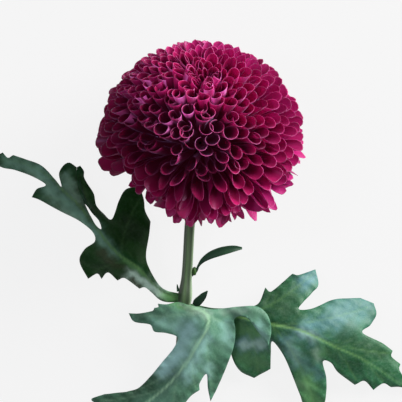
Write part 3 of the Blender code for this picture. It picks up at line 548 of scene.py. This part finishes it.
def stem_material():
    """Fibrous green, light on the ridges, with a painted highlight down one side and painted shade
    down the other.
    """
    n = Nodes("stem_ridged")
    painted_flank_light_and_shade = n.layer("painted_flank_light_and_shade")
    stretch = {"Vector": n.position(), "Scale": (900, 90, 900)}
    fibre = n.noise(n.new("Mapping", stretch).outputs[0], scale=1, detail=3)
    colour = n.coats(rgb(34, 58, 28), (n.layer("ridge"), rgb(84, 114, 70)),
                     (n.span(fibre, 0.4, 0.7, 0, 0.4), rgb(54, 84, 42)),
                     # painted highlight down one side of the stem, painted shade down the other
                     (painted_flank_light_and_shade, rgb(162, 184, 154)),
                     (n.times(painted_flank_light_and_shade, -1), rgb(34, 56, 28)),
                     (n.layer("cut"), rgb(196, 205, 160)))
    n.bump(fibre)
    return n.finish(Base_Color=colour, Roughness=0.5, Sheen_Weight=0.2, Sheen_Roughness=0.5)


def bract_material(name, dark, pale):
    n = Nodes(name)
    blotch = n.noise(n.position(), scale=400)
    n.bump(blotch)
    return n.finish(Base_Color=n.mix(blotch, dark, pale), Roughness=0.55,
                    Sheen_Weight=0.08, Sheen_Roughness=0.5, Specular_IOR_Level=0.25)


def floor_material():
    """A pale table that shines a little, so that shadows stay light."""
    n = Nodes("table_pale")
    cloud = n.noise(n.position(), scale=3, detail=2, roughness=0.5)
    colour = n.mix(cloud, (0.045, 0.045, 0.045, 1), (0.05, 0.05, 0.05, 1))
    return n.finish(Base_Color=colour, Roughness=0.9, Specular_IOR_Level=0.1,
                    Emission_Strength=0.855, Emission_Color=(1, 1, 1, 1))


# ---- florets ----
def near_turn(turn, middle, spread):
    """1 at one side of the head, in degrees, falling to 0 away from it."""
    away = (degrees(turn) - middle + 180) % 360 - 180
    return near(away, spread)


def unevenness(angle, turn):
    """How much longer or shorter a floret is than its whorl, as a share."""
    lift = sum(share * near_turn(turn, *side) for *side, share in UNEVEN_TURNS)
    return lift * np.interp(angle, UNEVEN_OVER, (0, 1))


def share_of(region, angle, turn):
    """How far a floret belongs to a region of the head, from 0 to 1."""
    share = near_turn(turn, *region.side) if region.side else 1
    if region.begins:
        share *= ease(angle, *region.begins)
    if region.fades:
        share *= 1 - ease(angle, *region.fades)
    return share


def strongest(rows, angle, turn):
    """The largest of several amounts, each within its own region."""
    return max(amount * share_of(region, angle, turn) for amount, region in rows)


def floret_form(angle, spacing, turn):
    """Incurved tubes at the crown, open channels in the skirt."""
    at = SimpleNamespace(**{name: share_of(region, angle, turn)
                            for name, region in REGIONS.items()})
    at.open = max(at.skirt, HANGING_OPEN * at.hanging)
    at.closed = 1 - at.open
    form = SimpleNamespace(**{name: sum(amount * getattr(at, key) for key, amount in parts.items())
                              for name, parts in MEASURES.items()})
    form.arc, form.bend, form.rolled = map(radians, (form.arc, form.bend, form.rolled))
    form.half = min(form.half_share * spacing, form.half_most)
    form.half *= (1 - SLIMMER * at.slim) * (1 - NARROWER * at.narrow * at.closed)
    form.cut *= (1 - STRAIGHTER * at.level) * (1 - STRAIGHTER * at.cupped)
    form.cut += OPEN_CUT * at.open
    form.front = at.front
    form.teeth = TEETH * at.open * (1 - TEETH_SOFTER * at.soft)
    form.wild = CALM + (1 - CALM) * max(at.open, at.front, WILD_CROWN * at.crown)
    # painted throat shade: lighter on the lit side, deeper at the front
    form.fade *= 1 - FADE_LESS * at.light_side
    form.fade = min(FADE_MOST, form.fade + FADE_FRONT * at.deep_front)
    form.violet = strongest(PAINTED_VIOLET_SHEEN, angle, turn)
    return form


def vary(form):
    """Makes a floret unlike its neighbours, most of all at the front."""
    for name, least, most, at_front in STRETCHES:
        strength = 1 if name == "blunt" else form.wild
        vars(form)[name] *= 1 + RNG.uniform(least - at_front * form.front, most) * strength
    for name, most, at_front in BENDS:
        strength = form.wild * (1 + at_front * form.front)
        vars(form)[name] = getattr(form, name, 0) + RNG.uniform(-most, most) * strength


def tint(form, angle, turn):
    """How light a floret is, with painted light and painted shade by its side of the head, and how
    its edge and tip get painted light and shade.
    """
    # painted shade over one side of the head
    shaded = PAINTED_SHADE * share_of(PAINTED_SHADE_SIDE, angle, turn)
    # painted gleam: a painted highlight on the backs of some florets
    painted_gleam_side = min(1, PAINTED_GLEAM_GAIN * strongest(PAINTED_GLEAM_SIDES, angle, turn))
    form.gleam = painted_gleam_side * ease(TINT.uniform(0, 1), *PAINTED_GLEAM_ODDS)
    form.shine = TINT.uniform(*SHINE_RANGE)
    # rim lightness: random, with painted light and shade by side of the head
    form.edge = TINT.uniform(*EDGE_RANGE) - EDGE_SHADED * shaded
    form.edge += sum(amount * share_of(side, angle, turn) for amount, side in EDGE_SIDES)
    mottle = MOTTLE - MOTTLE_LESS * share_of(EVEN_SIDE, angle, turn)
    # painted light on the lit sides and the crown
    painted_light = PAINTED_LIGHTER * strongest(PAINTED_LIGHT, angle, turn)
    form.tone = (TONE + mottle * TINT.uniform(-1, 1)) * (1 - shaded) * (1 + painted_light)


def bearing(turn):
    """The direction from the head's axis towards one side of the head."""
    return ACROSS * cos(turn) + ALONG * sin(turn)


def floret_axes(polar, turn, roll):
    """The directions along a floret, out through its back and across it."""
    spoke = bearing(turn)
    ahead = AXIS * cos(polar) + spoke * sin(polar)
    outward = spoke * cos(polar) - AXIS * sin(polar)
    sideways = np.cross(ahead, outward)
    return (ahead, outward * cos(roll) + sideways * sin(roll),
            sideways * cos(roll) - outward * sin(roll))


def floret_end(form, full, v):
    """How far a floret runs at each place across it."""
    wave, skew = RNG.uniform(0, 2 * pi), RNG.uniform(-SKEW, SKEW) * form.wild
    point = RNG.uniform(0, 1) * form.teeth
    return (full - form.cut * np.abs(v) ** form.blunt * (1 + skew * v)
            + RIPPLE * np.sin(4 * v + wave) + form.teeth * np.cos(8 * v + wave) * (1 - v ** 2)
            + POINTED * point * (1 - np.abs(v)) ** 2)


def skin_faces(rows, columns, turned=False):
    """Faces of a sheet: its first skin, its second one and the edge between."""
    sheet = rows * columns
    index = np.arange(sheet).reshape(rows, columns)
    a, b, c, d = index[:-1, :-1], index[1:, :-1], index[1:, 1:], index[:-1, 1:]
    border = np.concatenate([index[:, 0], index[-1, 1:], index[-2::-1, -1], index[0, -2:0:-1]])
    following = np.roll(border, -1)
    if turned:
        b, d = d, b
        border, following = following, border
    first = np.stack([a, b, c, d], -1).reshape(-1, 4)
    edge = np.stack([following, border, border + sheet, following + sheet], -1)
    return np.concatenate([first, first[:, ::-1] + sheet, edge])


def floret_layers(form, v, s, run, full):
    """What the petal material reads at each point of the two skins."""
    g = run / full
    at_rim = np.maximum((np.abs(v) > 0.99) * ease(g, 0.4, 0.65), s > 0.999)
    # a pale margin, lighter or darker with painted light and shade
    lit = np.clip(form.edge + 0.5 * np.sin(2.2 * v + TINT.uniform(0, 6.3)), -1, 1)
    grain = np.broadcast_arrays(v * GRAIN_ACROSS, run * GRAIN_ALONG, TINT.uniform(0, 50))
    # the painted gleam lies across the back, near the floret's end
    shine = near(abs(v) - form.shine, SHINE_WIDTH)
    gleam = form.gleam * ease(g, 0.78, 0.92) * shine
    # reach: darker roots, partly painted shade
    fields = {"rim": at_rim * lit, "reach": ease(g, form.fade, 0.97),
              "tone": form.tone, "violet": form.violet}
    layers = {key: np.tile(np.broadcast_to(field, run.shape).ravel(), 2)
              for key, field in fields.items()}
    layers["inner"] = np.repeat((0, 1), run.size)
    layers["gleam"] = np.outer((1, 0), gleam).ravel()
    layers["grain"] = np.tile(np.stack(grain, -1).reshape(-1, 3), (2, 1))
    return layers


def floret(form, reach, polar, turn, roll):
    """Points, faces and layers of one floret: a tube that opens into a scoop."""
    ahead, outward, sideways = floret_axes(polar, turn, roll)
    v = np.concatenate((-CROSSWISE[:0:-1], CROSSWISE))[None, :]
    s = LENGTHWISE[:, None]
    full = reach - ROOT
    run = s * floret_end(form, full, v)
    g = run / full
    arc = ROOT_ARC + (form.arc - ROOT_ARC) * ease(g, 0.4, 0.98)
    flare = (1 + form.flare * ease(g, 0.72, 1)) * (1 - form.pinch * ease(g, 0.7, 1))
    fullness = 1 / np.sin(np.minimum(arc, pi / 2))
    taper = ((ROOT + run) / reach) ** TAPER
    half = form.half * taper * flare * fullness
    depth = form.depth * taper * flare * fullness
    settle = depth * (0.5 + 0.5 * np.cos(arc)) * SETTLE
    twist = form.twist * g ** 2
    phi = (v + form.slant * (1 - v ** 2)) * arc + twist
    table = np.linspace(0, full * 1.15, 60)
    step = table[1] - table[0]
    angle = form.bend * (table / full) ** BEND_POWER
    swing = form.sway * (table / full) ** 2
    on, out = (np.append(0, np.cumsum(part(angle[1:]) * step)) for part in (np.cos, np.sin))
    bead = RIM_BEAD * np.maximum(ease(np.abs(v), 0.9, 1), ease(s, 0.96, 1))
    tilt = np.interp(run, table, angle)
    skins = []
    for skin in (0, 1):
        grow = bead * (1 - 2 * skin) - WALL * skin
        side = (half + grow) * np.sin(phi) + np.interp(run, table, swing)
        drop = (depth + grow) * np.cos(phi) - settle * np.cos(twist)
        forth = ROOT + np.interp(run, table, on) - drop * np.sin(tilt)
        away = np.interp(run, table, out) + drop * np.cos(tilt)
        skins.append(CENTRE + ahead * forth[..., None] + sideways * side[..., None]
                     + outward * away[..., None])
    points = np.concatenate([skin.reshape(-1, 3) for skin in skins])
    return points, skin_faces(*run.shape), floret_layers(form, v, s, run, full)


def join(parts):
    """Points, faces and layers of several pieces, as one."""
    points, faces, layers = zip(*parts)
    starts = np.cumsum([0] + [len(part) for part in points])
    faces = [part + start for part, start in zip(faces, starts)]
    layers = {key: np.concatenate([part[key] for part in layers]) for key in layers[0]}
    return np.concatenate(points), np.concatenate(faces).tolist(), layers


def whorl_band(index):
    """The polar angles that a whorl's florets fill, in degrees."""
    angles = [whorl[0] for whorl in WHORLS]
    between = [(low + high) / 2 for low, high in zip(angles, angles[1:])]
    return ([FIRST_ANGLE] + between + [angles[-1] + LAST_BAND])[index:index + 2]


def settle_on_table(points):
    """Florets that would pass through the table bend along it."""
    z = points[:, 2]
    soft = FLOOR_SOFT - FLOOR_REST
    points[:, 2] = np.where(z < FLOOR_SOFT, FLOOR_REST + soft * np.exp((z - FLOOR_SOFT) / soft), z)


def floret_whorl(index, first, mat):
    """A stretch of the spiral that runs from the crown over the whole head."""
    count, even_reach = WHORLS[index][1:]
    before = WHORLS[max(index - 1, 0)][2]
    after = WHORLS[min(index + 1, len(WHORLS) - 1)][2]
    low, high = whorl_band(index)
    parts = []
    for i in range(count):
        share = (i + 0.5) / count
        middle = low + (high - low) * share
        even = even_reach + (share - 0.5) * (after - before) / 2
        turn = (first + i) * GOLDEN_TURN + RNG.normal(0, TURN_JITTER)
        crowding = CROWDING * (1 - UNCROWDED * ease(middle, *UNCROWDING))
        from_crowd = turn - radians(CROWDED_TURN)
        turn = (turn - crowding * sin(from_crowd)) % (2 * pi)
        loose = ease(middle, *LOOSENING)
        turn += RNG.normal(0, LOOSE_TURN_JITTER) * loose
        polar = middle + RNG.uniform(-ANGLE_JITTER, ANGLE_JITTER) * (1 + LOOSER * loose)
        around = sin(radians(max(middle, LEAST_ANGLE)))
        spacing = 2 * pi * even * around / count * (1 - crowding * cos(from_crowd))
        form = floret_form(middle, spacing, turn)
        reach = even * (1 + unevenness(middle, turn))
        reach += RNG.uniform(*REACH_JITTER) * (1 + REACH_AT_FRONT * form.front)
        reach -= CROWN_DIP * (1 - ease(middle, *CROWN_DIP_ENDS))
        vary(form)
        tint(form, middle, turn)
        parts.append(floret(form, reach, radians(polar), turn, form.rolled))
    points, faces, layers = join(parts)
    settle_on_table(points)
    number = "%02d" % (index + 1)
    build("florets_" + number, "floret_whorl_" + number, mat, points, faces, layers)


# ---- tubes, straps and bracts ----
def stem(mat):
    """A ridged tube to the cut end, swollen at the neck and the node."""
    sides = 8 * STEM_RIDGES
    top = CENTRE - AXIS * (RECEPTACLE_FOOT + 0.3)
    route = smooth_route([tuple(top)] + STEM_ROUTE, STEM_STEPS)
    ways = directions(route)
    ways[0] = -AXIS
    points, ridge, painted_flank_light_and_shade = [], [], []
    for i, (spot, way) in enumerate(zip(route, ways)):
        side, up = frame_of(way)
        neck = (NECK_RADIUS - STEM_RADIUS) * max(0, 1 - i / NECK_STEPS)
        node = NODE_SWELL * near(spot[1] - NODE_AT, NODE_SPREAD)
        for j in range(sides):
            turn = 2 * pi * j / sides
            rise = abs(cos(turn * STEM_RIDGES / 2)) ** 2
            radius = STEM_RADIUS + neck + node + RIDGE_HEIGHT * (rise - 0.5)
            points.append(spot + (side * cos(turn) + up * sin(turn)) * radius)
            ridge.append(rise ** 2)
            # painted highlight on one side, more at the node, and painted shade on the other
            painted_flank_light_and_shade.append((0.5 + 0.4 * node) * ease(-cos(turn), 0.5, 0.95)
                         - 0.6 * ease(cos(turn), 0.5, 0.9))
    last = len(points) - sides
    points.append(route[-1] + ways[-1] * 0.02)
    faces = [tuple(reversed(range(sides)))]
    pairs = [(j, (j + 1) % sides) for j in range(sides)]
    for a in range(0, last, sides):
        faces += [(a + j, a + k, a + sides + k, a + sides + j) for j, k in pairs]
    faces += [(last + j, last + k, len(points) - 1) for j, k in pairs]
    points = np.array(points)
    points[:, 2] = np.maximum(points[:, 2], 0.05)
    cut = [0] * (len(points) - 1) + [1]
    layers = {"ridge": ridge + [0], "painted_flank_light_and_shade": painted_flank_light_and_shade + [0], "cut": cut}
    build("stem_skin", "stem", mat, points, faces, layers)


def strap_mesh(rows, columns=9, steps=7, thickness=0.4, channel=0.35):
    """A small lance-shaped leaf with a channel along its middle."""
    route = smooth_route([row[:3] for row in rows], steps)
    widths = smooth_route([(row[3], 0, 0) for row in rows], steps)
    points = []
    for skin in (0, 1):
        for spot, way, width in zip(route, directions(route), widths):
            side, up = frame_of(way)
            half = max(float(width[0]), 0.12)
            for x in np.linspace(-1, 1, columns):
                sink = channel * half * x * x - skin * thickness * (1 - 0.75 * x * x)
                points.append(spot + side * (half * x) + up * sink)
    return np.array(points), skin_faces(len(route), columns, turned=True), {}


def strap(name, rows, mat, node):
    points, faces, _ = strap_mesh(rows)
    build(name, node, mat, points, faces.tolist())


def bract_whorl(index, mat):
    """A ring of short green bracts under the florets."""
    angle, count, reach = BRACT_WHORLS[index]
    root = RECEPTACLE_RADIUS + BRACT_LIFT
    parts = []
    for i in range(count):
        turn = (i + 0.5 * (index % 2) + RNG.uniform(-0.1, 0.1)) * 2 * pi / count
        spoke = bearing(turn)
        rows = []
        for along, half in BRACT_OUTLINE:
            radius = root + along * (reach - root)
            polar = radians(angle - 3 * along)
            spot = CENTRE + (AXIS * cos(polar) + spoke * sin(polar)) * radius
            rows.append((*spot, half))
        parts.append(strap_mesh(rows, columns=5, steps=3, thickness=0.45, channel=0.1))
    points, faces, _ = join(parts)
    number = str(index + 1)
    build("bracts_" + number, "bract_whorl_" + number, mat, points, faces)


def axil_bud(mat):
    """A slightly ribbed ball: rings of points between two poles."""
    middle, reach = np.array(AXIL_BUD), np.array(AXIL_BUD_RADIUS)
    rings, sides = 10, 14
    points = [middle + reach * UP]
    for i in range(1, rings):
        for j in range(sides):
            polar, turn = pi * i / rings, 2 * pi * j / sides
            ball = np.array((sin(polar) * cos(turn), sin(polar) * sin(turn), cos(polar)))
            points.append(middle + ball * reach * (1 + 0.06 * cos(3 * turn + 2 * polar)))
    points.append(middle - reach * UP)
    last = len(points) - 1
    faces = []
    for j in range(sides):
        k = (j + 1) % sides
        faces += [(0, 1 + j, 1 + k), (last, last - sides + k, last - sides + j)]
        for i in range(rings - 2):
            a, b = 1 + i * sides, 1 + (i + 1) * sides
            faces.append((a + j, b + j, b + k, a + k))
    build("axil_bud_skin", "axil_bud", mat, points, faces)


# ---- leaves ----
def margin_route(margin):
    """The outline as a closed run of plan points, cornered at its teeth."""
    places = np.array(margin, float)[:, :2]
    sharp = [isinstance(row, list) for row in margin]
    before, following, after = (np.roll(places, shift, axis=0) for shift in (1, -1, -2))
    route = []
    for i, (a, b) in enumerate(zip(places, following)):
        leaving = (b - a) if sharp[i] else (b - before[i]) / 2
        arriving = (b - a) if sharp[(i + 1) % len(sharp)] else (after[i] - a) / 2
        length = norm(b - a)
        leaving, arriving = (way * min(1, MARGIN_PULL * length / max(norm(way), TINY))
                             for way in (leaving, arriving))
        steps = max(1, round(length / MARGIN_STEP))
        for t in np.arange(steps) / steps:
            route.append((2 * t ** 3 - 3 * t ** 2 + 1) * a + (t ** 3 - 2 * t ** 2 + t) * leaving
                         + (3 * t ** 2 - 2 * t ** 3) * b + (t ** 3 - t ** 2) * arriving)
    return np.array(route)


def height_field(rows):
    """A thin-plate surface near the heights of the rows, as a function."""
    rows = np.array(rows, float)
    places, heights, count = rows[:, :2], rows[:, 2], len(rows)

    def kernel(distance):
        return distance ** 2 * np.log(distance + 1e-9)

    system = np.zeros((count + 3, count + 3))
    system[:count, :count] = kernel(norm(places[:, None] - places[None], axis=2))
    system[:count, :count] += np.eye(count) * SURFACE_EASE
    system[:count, count] = system[count, :count] = 1
    system[:count, count + 1:] = places
    system[count + 1:, :count] = places.T
    weights = np.linalg.solve(system, np.append(heights, [0, 0, 0]))

    def height(points):
        distance = norm(points[:, None] - places[None], axis=2)
        return kernel(distance) @ weights[:count] + weights[count] + points @ weights[count + 1:]

    return height


def inside(points, outline):
    """Which plan points lie inside a closed outline."""
    a, b = outline, np.roll(outline, -1, axis=0)
    x, y = points[:, 0, None], points[:, 1, None]
    crosses = (a[:, 1] > y) != (b[:, 1] > y)
    run = np.where(b[:, 1] == a[:, 1], 1, b[:, 1] - a[:, 1])
    return (crosses & (x < a[:, 0] + (y - a[:, 1]) * (b[:, 0] - a[:, 0]) / run)).sum(1) % 2 == 1


def distance_to(points, route):
    """Each point's distance to a route, how far along that is, and on which side."""
    a, b = np.asarray(route)[:-1], np.asarray(route)[1:]
    run = b - a
    t = ((points[:, None] - a) * run).sum(2) / np.maximum((run ** 2).sum(1), 1e-9)
    t = np.clip(t, 0, 1)
    gap = norm(points[:, None] - a - t[..., None] * run, axis=2)
    nearest = gap.argmin(1)
    pick = np.arange(len(points))
    off = points - a[nearest]
    side = np.sign(run[nearest, 0] * off[:, 1] - run[nearest, 1] * off[:, 0])
    return gap[pick, nearest], (nearest + t[pick, nearest]) / len(a), side


def side_vein(midrib, along, end):
    """A vein that leaves the midrib forwards and bends to its end."""
    first, last = int(along * (len(midrib) - 1)), len(midrib) - 1
    start, end = midrib[first], np.array(end)
    ahead = unit(midrib[min(first + 4, last)] - start)
    bend = start + ahead * 0.35 * norm(end - start)
    bend = (bend + (start + end) / 2) / 2
    ts = np.linspace(0, 1, 14)[:, None]
    return (1 - ts) ** 2 * start + 2 * ts * (1 - ts) * bend + ts ** 2 * end


def branch_veins(vein):
    """Short veins to both sides of a vein, pointing forwards."""
    lengths = np.append(0, np.cumsum(norm(np.diff(vein, axis=0), axis=1)))
    branches = []
    for k, at in enumerate(np.arange(3, lengths[-1] - 2, BRANCH_SPACING / 2)):
        i = int(np.searchsorted(lengths, at)) - 1
        way = unit(vein[i + 1] - vein[i])
        across = np.array((-way[1], way[0])) * (1 if k % 2 else -1)
        start = vein[i] + way * (at - lengths[i])
        middle = start + (way * 0.75 + across * 0.65) * BRANCH_REACH * 0.5
        shorter = 1 - 0.4 * at / lengths[-1]
        end = start + (way * 0.95 + across * 0.75) * BRANCH_REACH * shorter
        branches.append(np.array((start, middle, end)))
    return branches


def strokes(places, rows):
    """A soft, ragged field that is 1 along full strokes and 0 far from them."""
    x, y = places.T
    ragged = np.column_stack([0.7 * np.sin(1.3 * y + 0.6 * x) + 0.35 * np.sin(3.1 * y - 1.7 * x),
                              0.7 * np.sin(1.1 * x - 0.8 * y) + 0.35 * np.sin(2.9 * x + 2.1 * y)])
    clear = np.ones(len(places))
    for *ends, spread, amount in rows:
        line = np.reshape(ends, (2, 2))
        gap = distance_to(places + ragged * min(spread, 2.5) * 0.4, line)[0]
        clear *= 1 - amount * near(gap, spread)
    return 1 - clear


def blade_plan(outline, closed):
    """Plan places that fill an outline evenly, and the triangles between them."""
    low, high = outline.min(0), outline.max(0)
    grid = []
    for row, y in enumerate(np.arange(low[1], high[1], BLADE_STEP * 0.87)):
        first = low[0] + (row % 2) * BLADE_STEP / 2
        grid += [(x, y) for x in np.arange(first, high[0], BLADE_STEP)]
    grid = np.array(grid)
    grid = grid[inside(grid, outline)]
    grid = grid[distance_to(grid, closed)[0] > 0.45 * BLADE_STEP]
    flat = [Vector(p) for p in (*outline, *grid)]
    verts, _, tris, _, _, _ = delaunay_2d_cdt(flat, [], [list(range(len(outline)))], 1, 1e-5)
    return np.array([v[:] for v in verts]), [list(t) for t in tris]


def leaf(side_name, midrib_rows, margin, veins, marks, deep_side, faint, looks):
    """A lobed blade with sunken veins, raised panels and a waved margin.

    deep_side is the side of the midrib, 1 or -1, where the blade dips and gets painted shade.
    faint is how far the midrib fades towards the tip, from 0 to 1.
    """
    outline = margin_route(margin)
    closed = np.concatenate([outline, outline[:1]])
    midrib = np.array(smooth_route([row[:2] for row in midrib_rows], MIDRIB_STEPS))
    places, tris = blade_plan(outline, closed)
    x, y = places.T
    to_margin = distance_to(places, closed)[0]
    to_midrib, along, side = distance_to(places, midrib)
    side_veins = [side_vein(midrib, at, end) for at, *end in veins]
    small_veins = [b for v in [midrib] + side_veins for b in branch_veins(v)]
    to_side, to_small = (np.min([distance_to(places, line)[0] for line in lines], axis=0)
                         for lines in (side_veins, small_veins))

    main = near(to_midrib, MIDRIB_WIDTH - MIDRIB_NARROWS * along)
    main *= 1 - faint * ease(along, 0.5, 0.95)
    second, third = near(to_side, SIDE_VEIN_WIDTH), near(to_small, SMALL_VEIN_WIDTH)
    vein = np.maximum(main, np.maximum(SIDE_VEIN_SHARE * second, SMALL_VEIN_SHARE * third))
    vein *= ease(to_margin, 0, 0.8)
    dip = near(side * deep_side * to_midrib - DIP_AT, DIP_WIDTH)
    panel = 1 - near(np.minimum(np.minimum(to_midrib, to_side), to_small), PANEL_WIDTH)
    wave = MARGIN_WAVE * np.sin(0.9 * x + 1.3 * y) * np.exp(-to_margin / 1.6)
    wave += (BLADE_WAVE * np.sin(0.5 * x + 0.2 * y) * np.sin(0.42 * y - 0.15 * x)
             * ease(to_margin, 0.5, 3))
    tops = height_field(margin + midrib_rows)(places) + wave
    tops += PANEL_RISE * panel * ease(to_margin, 0, 2) - VEIN_SINK * vein - DIP_SINK * dip
    tops = np.maximum(tops, LOWEST_TOP)
    keel = KEEL_AT_BASE + (KEEL_AT_TIP - KEEL_AT_BASE) * along
    thickness = LEAF_THICKNESS * (EDGE_SHARE + (1 - EDGE_SHARE) * ease(to_margin, 0, 0.7))
    bottoms = tops - thickness - keel * near(to_midrib, KEEL_WIDTH) - SIDE_VEIN_KEEL * second
    bottoms = np.maximum(bottoms, LOWEST_BOTTOM)

    points = np.column_stack([np.tile(places, (2, 1)), np.append(tops, bottoms)])
    count = len(places)
    edges = {(t[i], t[(i + 1) % 3]) for t in tris for i in range(3)}
    faces = tris + [[count + i for i in reversed(t)] for t in tris]
    faces += [(b, a, count + a, count + b) for a, b in edges if (b, a) not in edges]
    fields = {mark: strokes(places, marks.get(mark, [])) for mark in MARKS}
    # painted shade in the dip beside the midrib
    fields["shade"] = np.maximum(fields["shade"], DIP_PAINTED_SHADE * dip * (1 - DIP_FADES * along))
    fields["vein"] = vein
    layers = {key: np.tile(field, 2) for key, field in fields.items()}
    layers["upper"] = np.repeat((1, 0), count)
    name = "leaf_" + side_name
    mat = leaf_material("leaf_blade_" + side_name, **looks)
    build(name + "_blade", name, mat, points, faces, layers)


# ---- stage ----
def light(name, location, height, size, power, colour):
    """A square lamp aimed just above the middle of the table."""
    lamp = bpy.data.lights.new(name, "AREA")
    lamp.size, lamp.energy, lamp.color = size, power, colour
    aim = Vector((0, 0, height)) - Vector(location)
    add(name, lamp, location).rotation_euler = aim.to_track_quat("-Z", "Y").to_euler()


def stage():
    bpy.ops.mesh.primitive_plane_add(size=6, location=(0, 0, 0))
    floor = bpy.context.object
    floor.name = "table"
    floor.data.materials.append(floor_material())
    light("key", (0.76, 0.5, 0.4), height=0.02, size=0.6, power=20, colour=(1, 0.985, 0.96))
    light("accent", (-0.34, 0.12, 0.62), height=0.03, size=0.14, power=1, colour=(0.82, 0.76, 1))
    world = bpy.data.worlds.new("studio")
    world.use_nodes = True
    sky = world.node_tree.nodes["Background"].inputs
    sky["Color"].default_value, sky["Strength"].default_value = (0.95, 0.97, 1, 1), 0.3
    SCENE.world = world
    SCENE.view_settings.view_transform = "Standard"


def camera():
    """A long lens straight above the flower."""
    data = bpy.data.cameras.new("above")
    data.sensor_width, data.lens = 36, 189
    data.clip_start, data.clip_end = 0.05, 5
    SCENE.camera = add("above", data, (0, 0.0146, 0.78))


def main():
    camera()
    stage()
    petal = petal_material()
    green = bract_material("bract_green", rgb(8, 36, 22), rgb(30, 72, 44))
    first = 0
    for index, whorl in enumerate(WHORLS):
        floret_whorl(index, first, petal)
        first += whorl[1]
    for index in range(len(BRACT_WHORLS)):
        bract_whorl(index, green)
    stem(stem_material())
    for node, rows in STRAPS.items():
        strap(node + "_skin", rows, green, node)
    axil_bud(bract_material("bud_green", rgb(24, 60, 14), rgb(58, 98, 30)))
    leaf("right", RIGHT_MIDRIB, RIGHT_MARGIN, RIGHT_VEINS, RIGHT_MARKS, 1, 0.75, {
        "top": rgb(44, 102, 66), "top_dark": rgb(27, 82, 46), "under": rgb(90, 124, 96),
        "vein": rgb(124, 170, 100), "bloom_sheen_colour": rgb(90, 136, 148), "speckle": 0.2, "gloss": 0.3})
    leaf("front", FRONT_MIDRIB, FRONT_MARGIN, FRONT_VEINS, FRONT_MARKS, -1, 0.1, {
        "top": rgb(92, 140, 114), "top_dark": rgb(72, 122, 96), "under": rgb(90, 124, 96),
        "vein": rgb(156, 200, 160), "bloom_sheen_colour": rgb(160, 208, 204), "speckle": 0.26, "gloss": 0.3})
    leaf("left", LEFT_MIDRIB, LEFT_MARGIN, LEFT_VEINS, LEFT_MARKS, -1, 0.75, {
        "top": rgb(22, 60, 18), "top_dark": rgb(10, 42, 8), "under": rgb(80, 110, 86),
        "vein": rgb(88, 130, 76), "bloom_sheen_colour": rgb(108, 148, 128), "speckle": 0.04, "gloss": 0.08})
    # a dark strip as painted shade, seen through the seam between two lobes
    strap("leaf_left_seam_shade", LEFT_SEAM_SHADE, green, "leaf_left")
    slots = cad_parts["receptacle"].data.materials
    slots.clear()
    slots.append(green)


main()
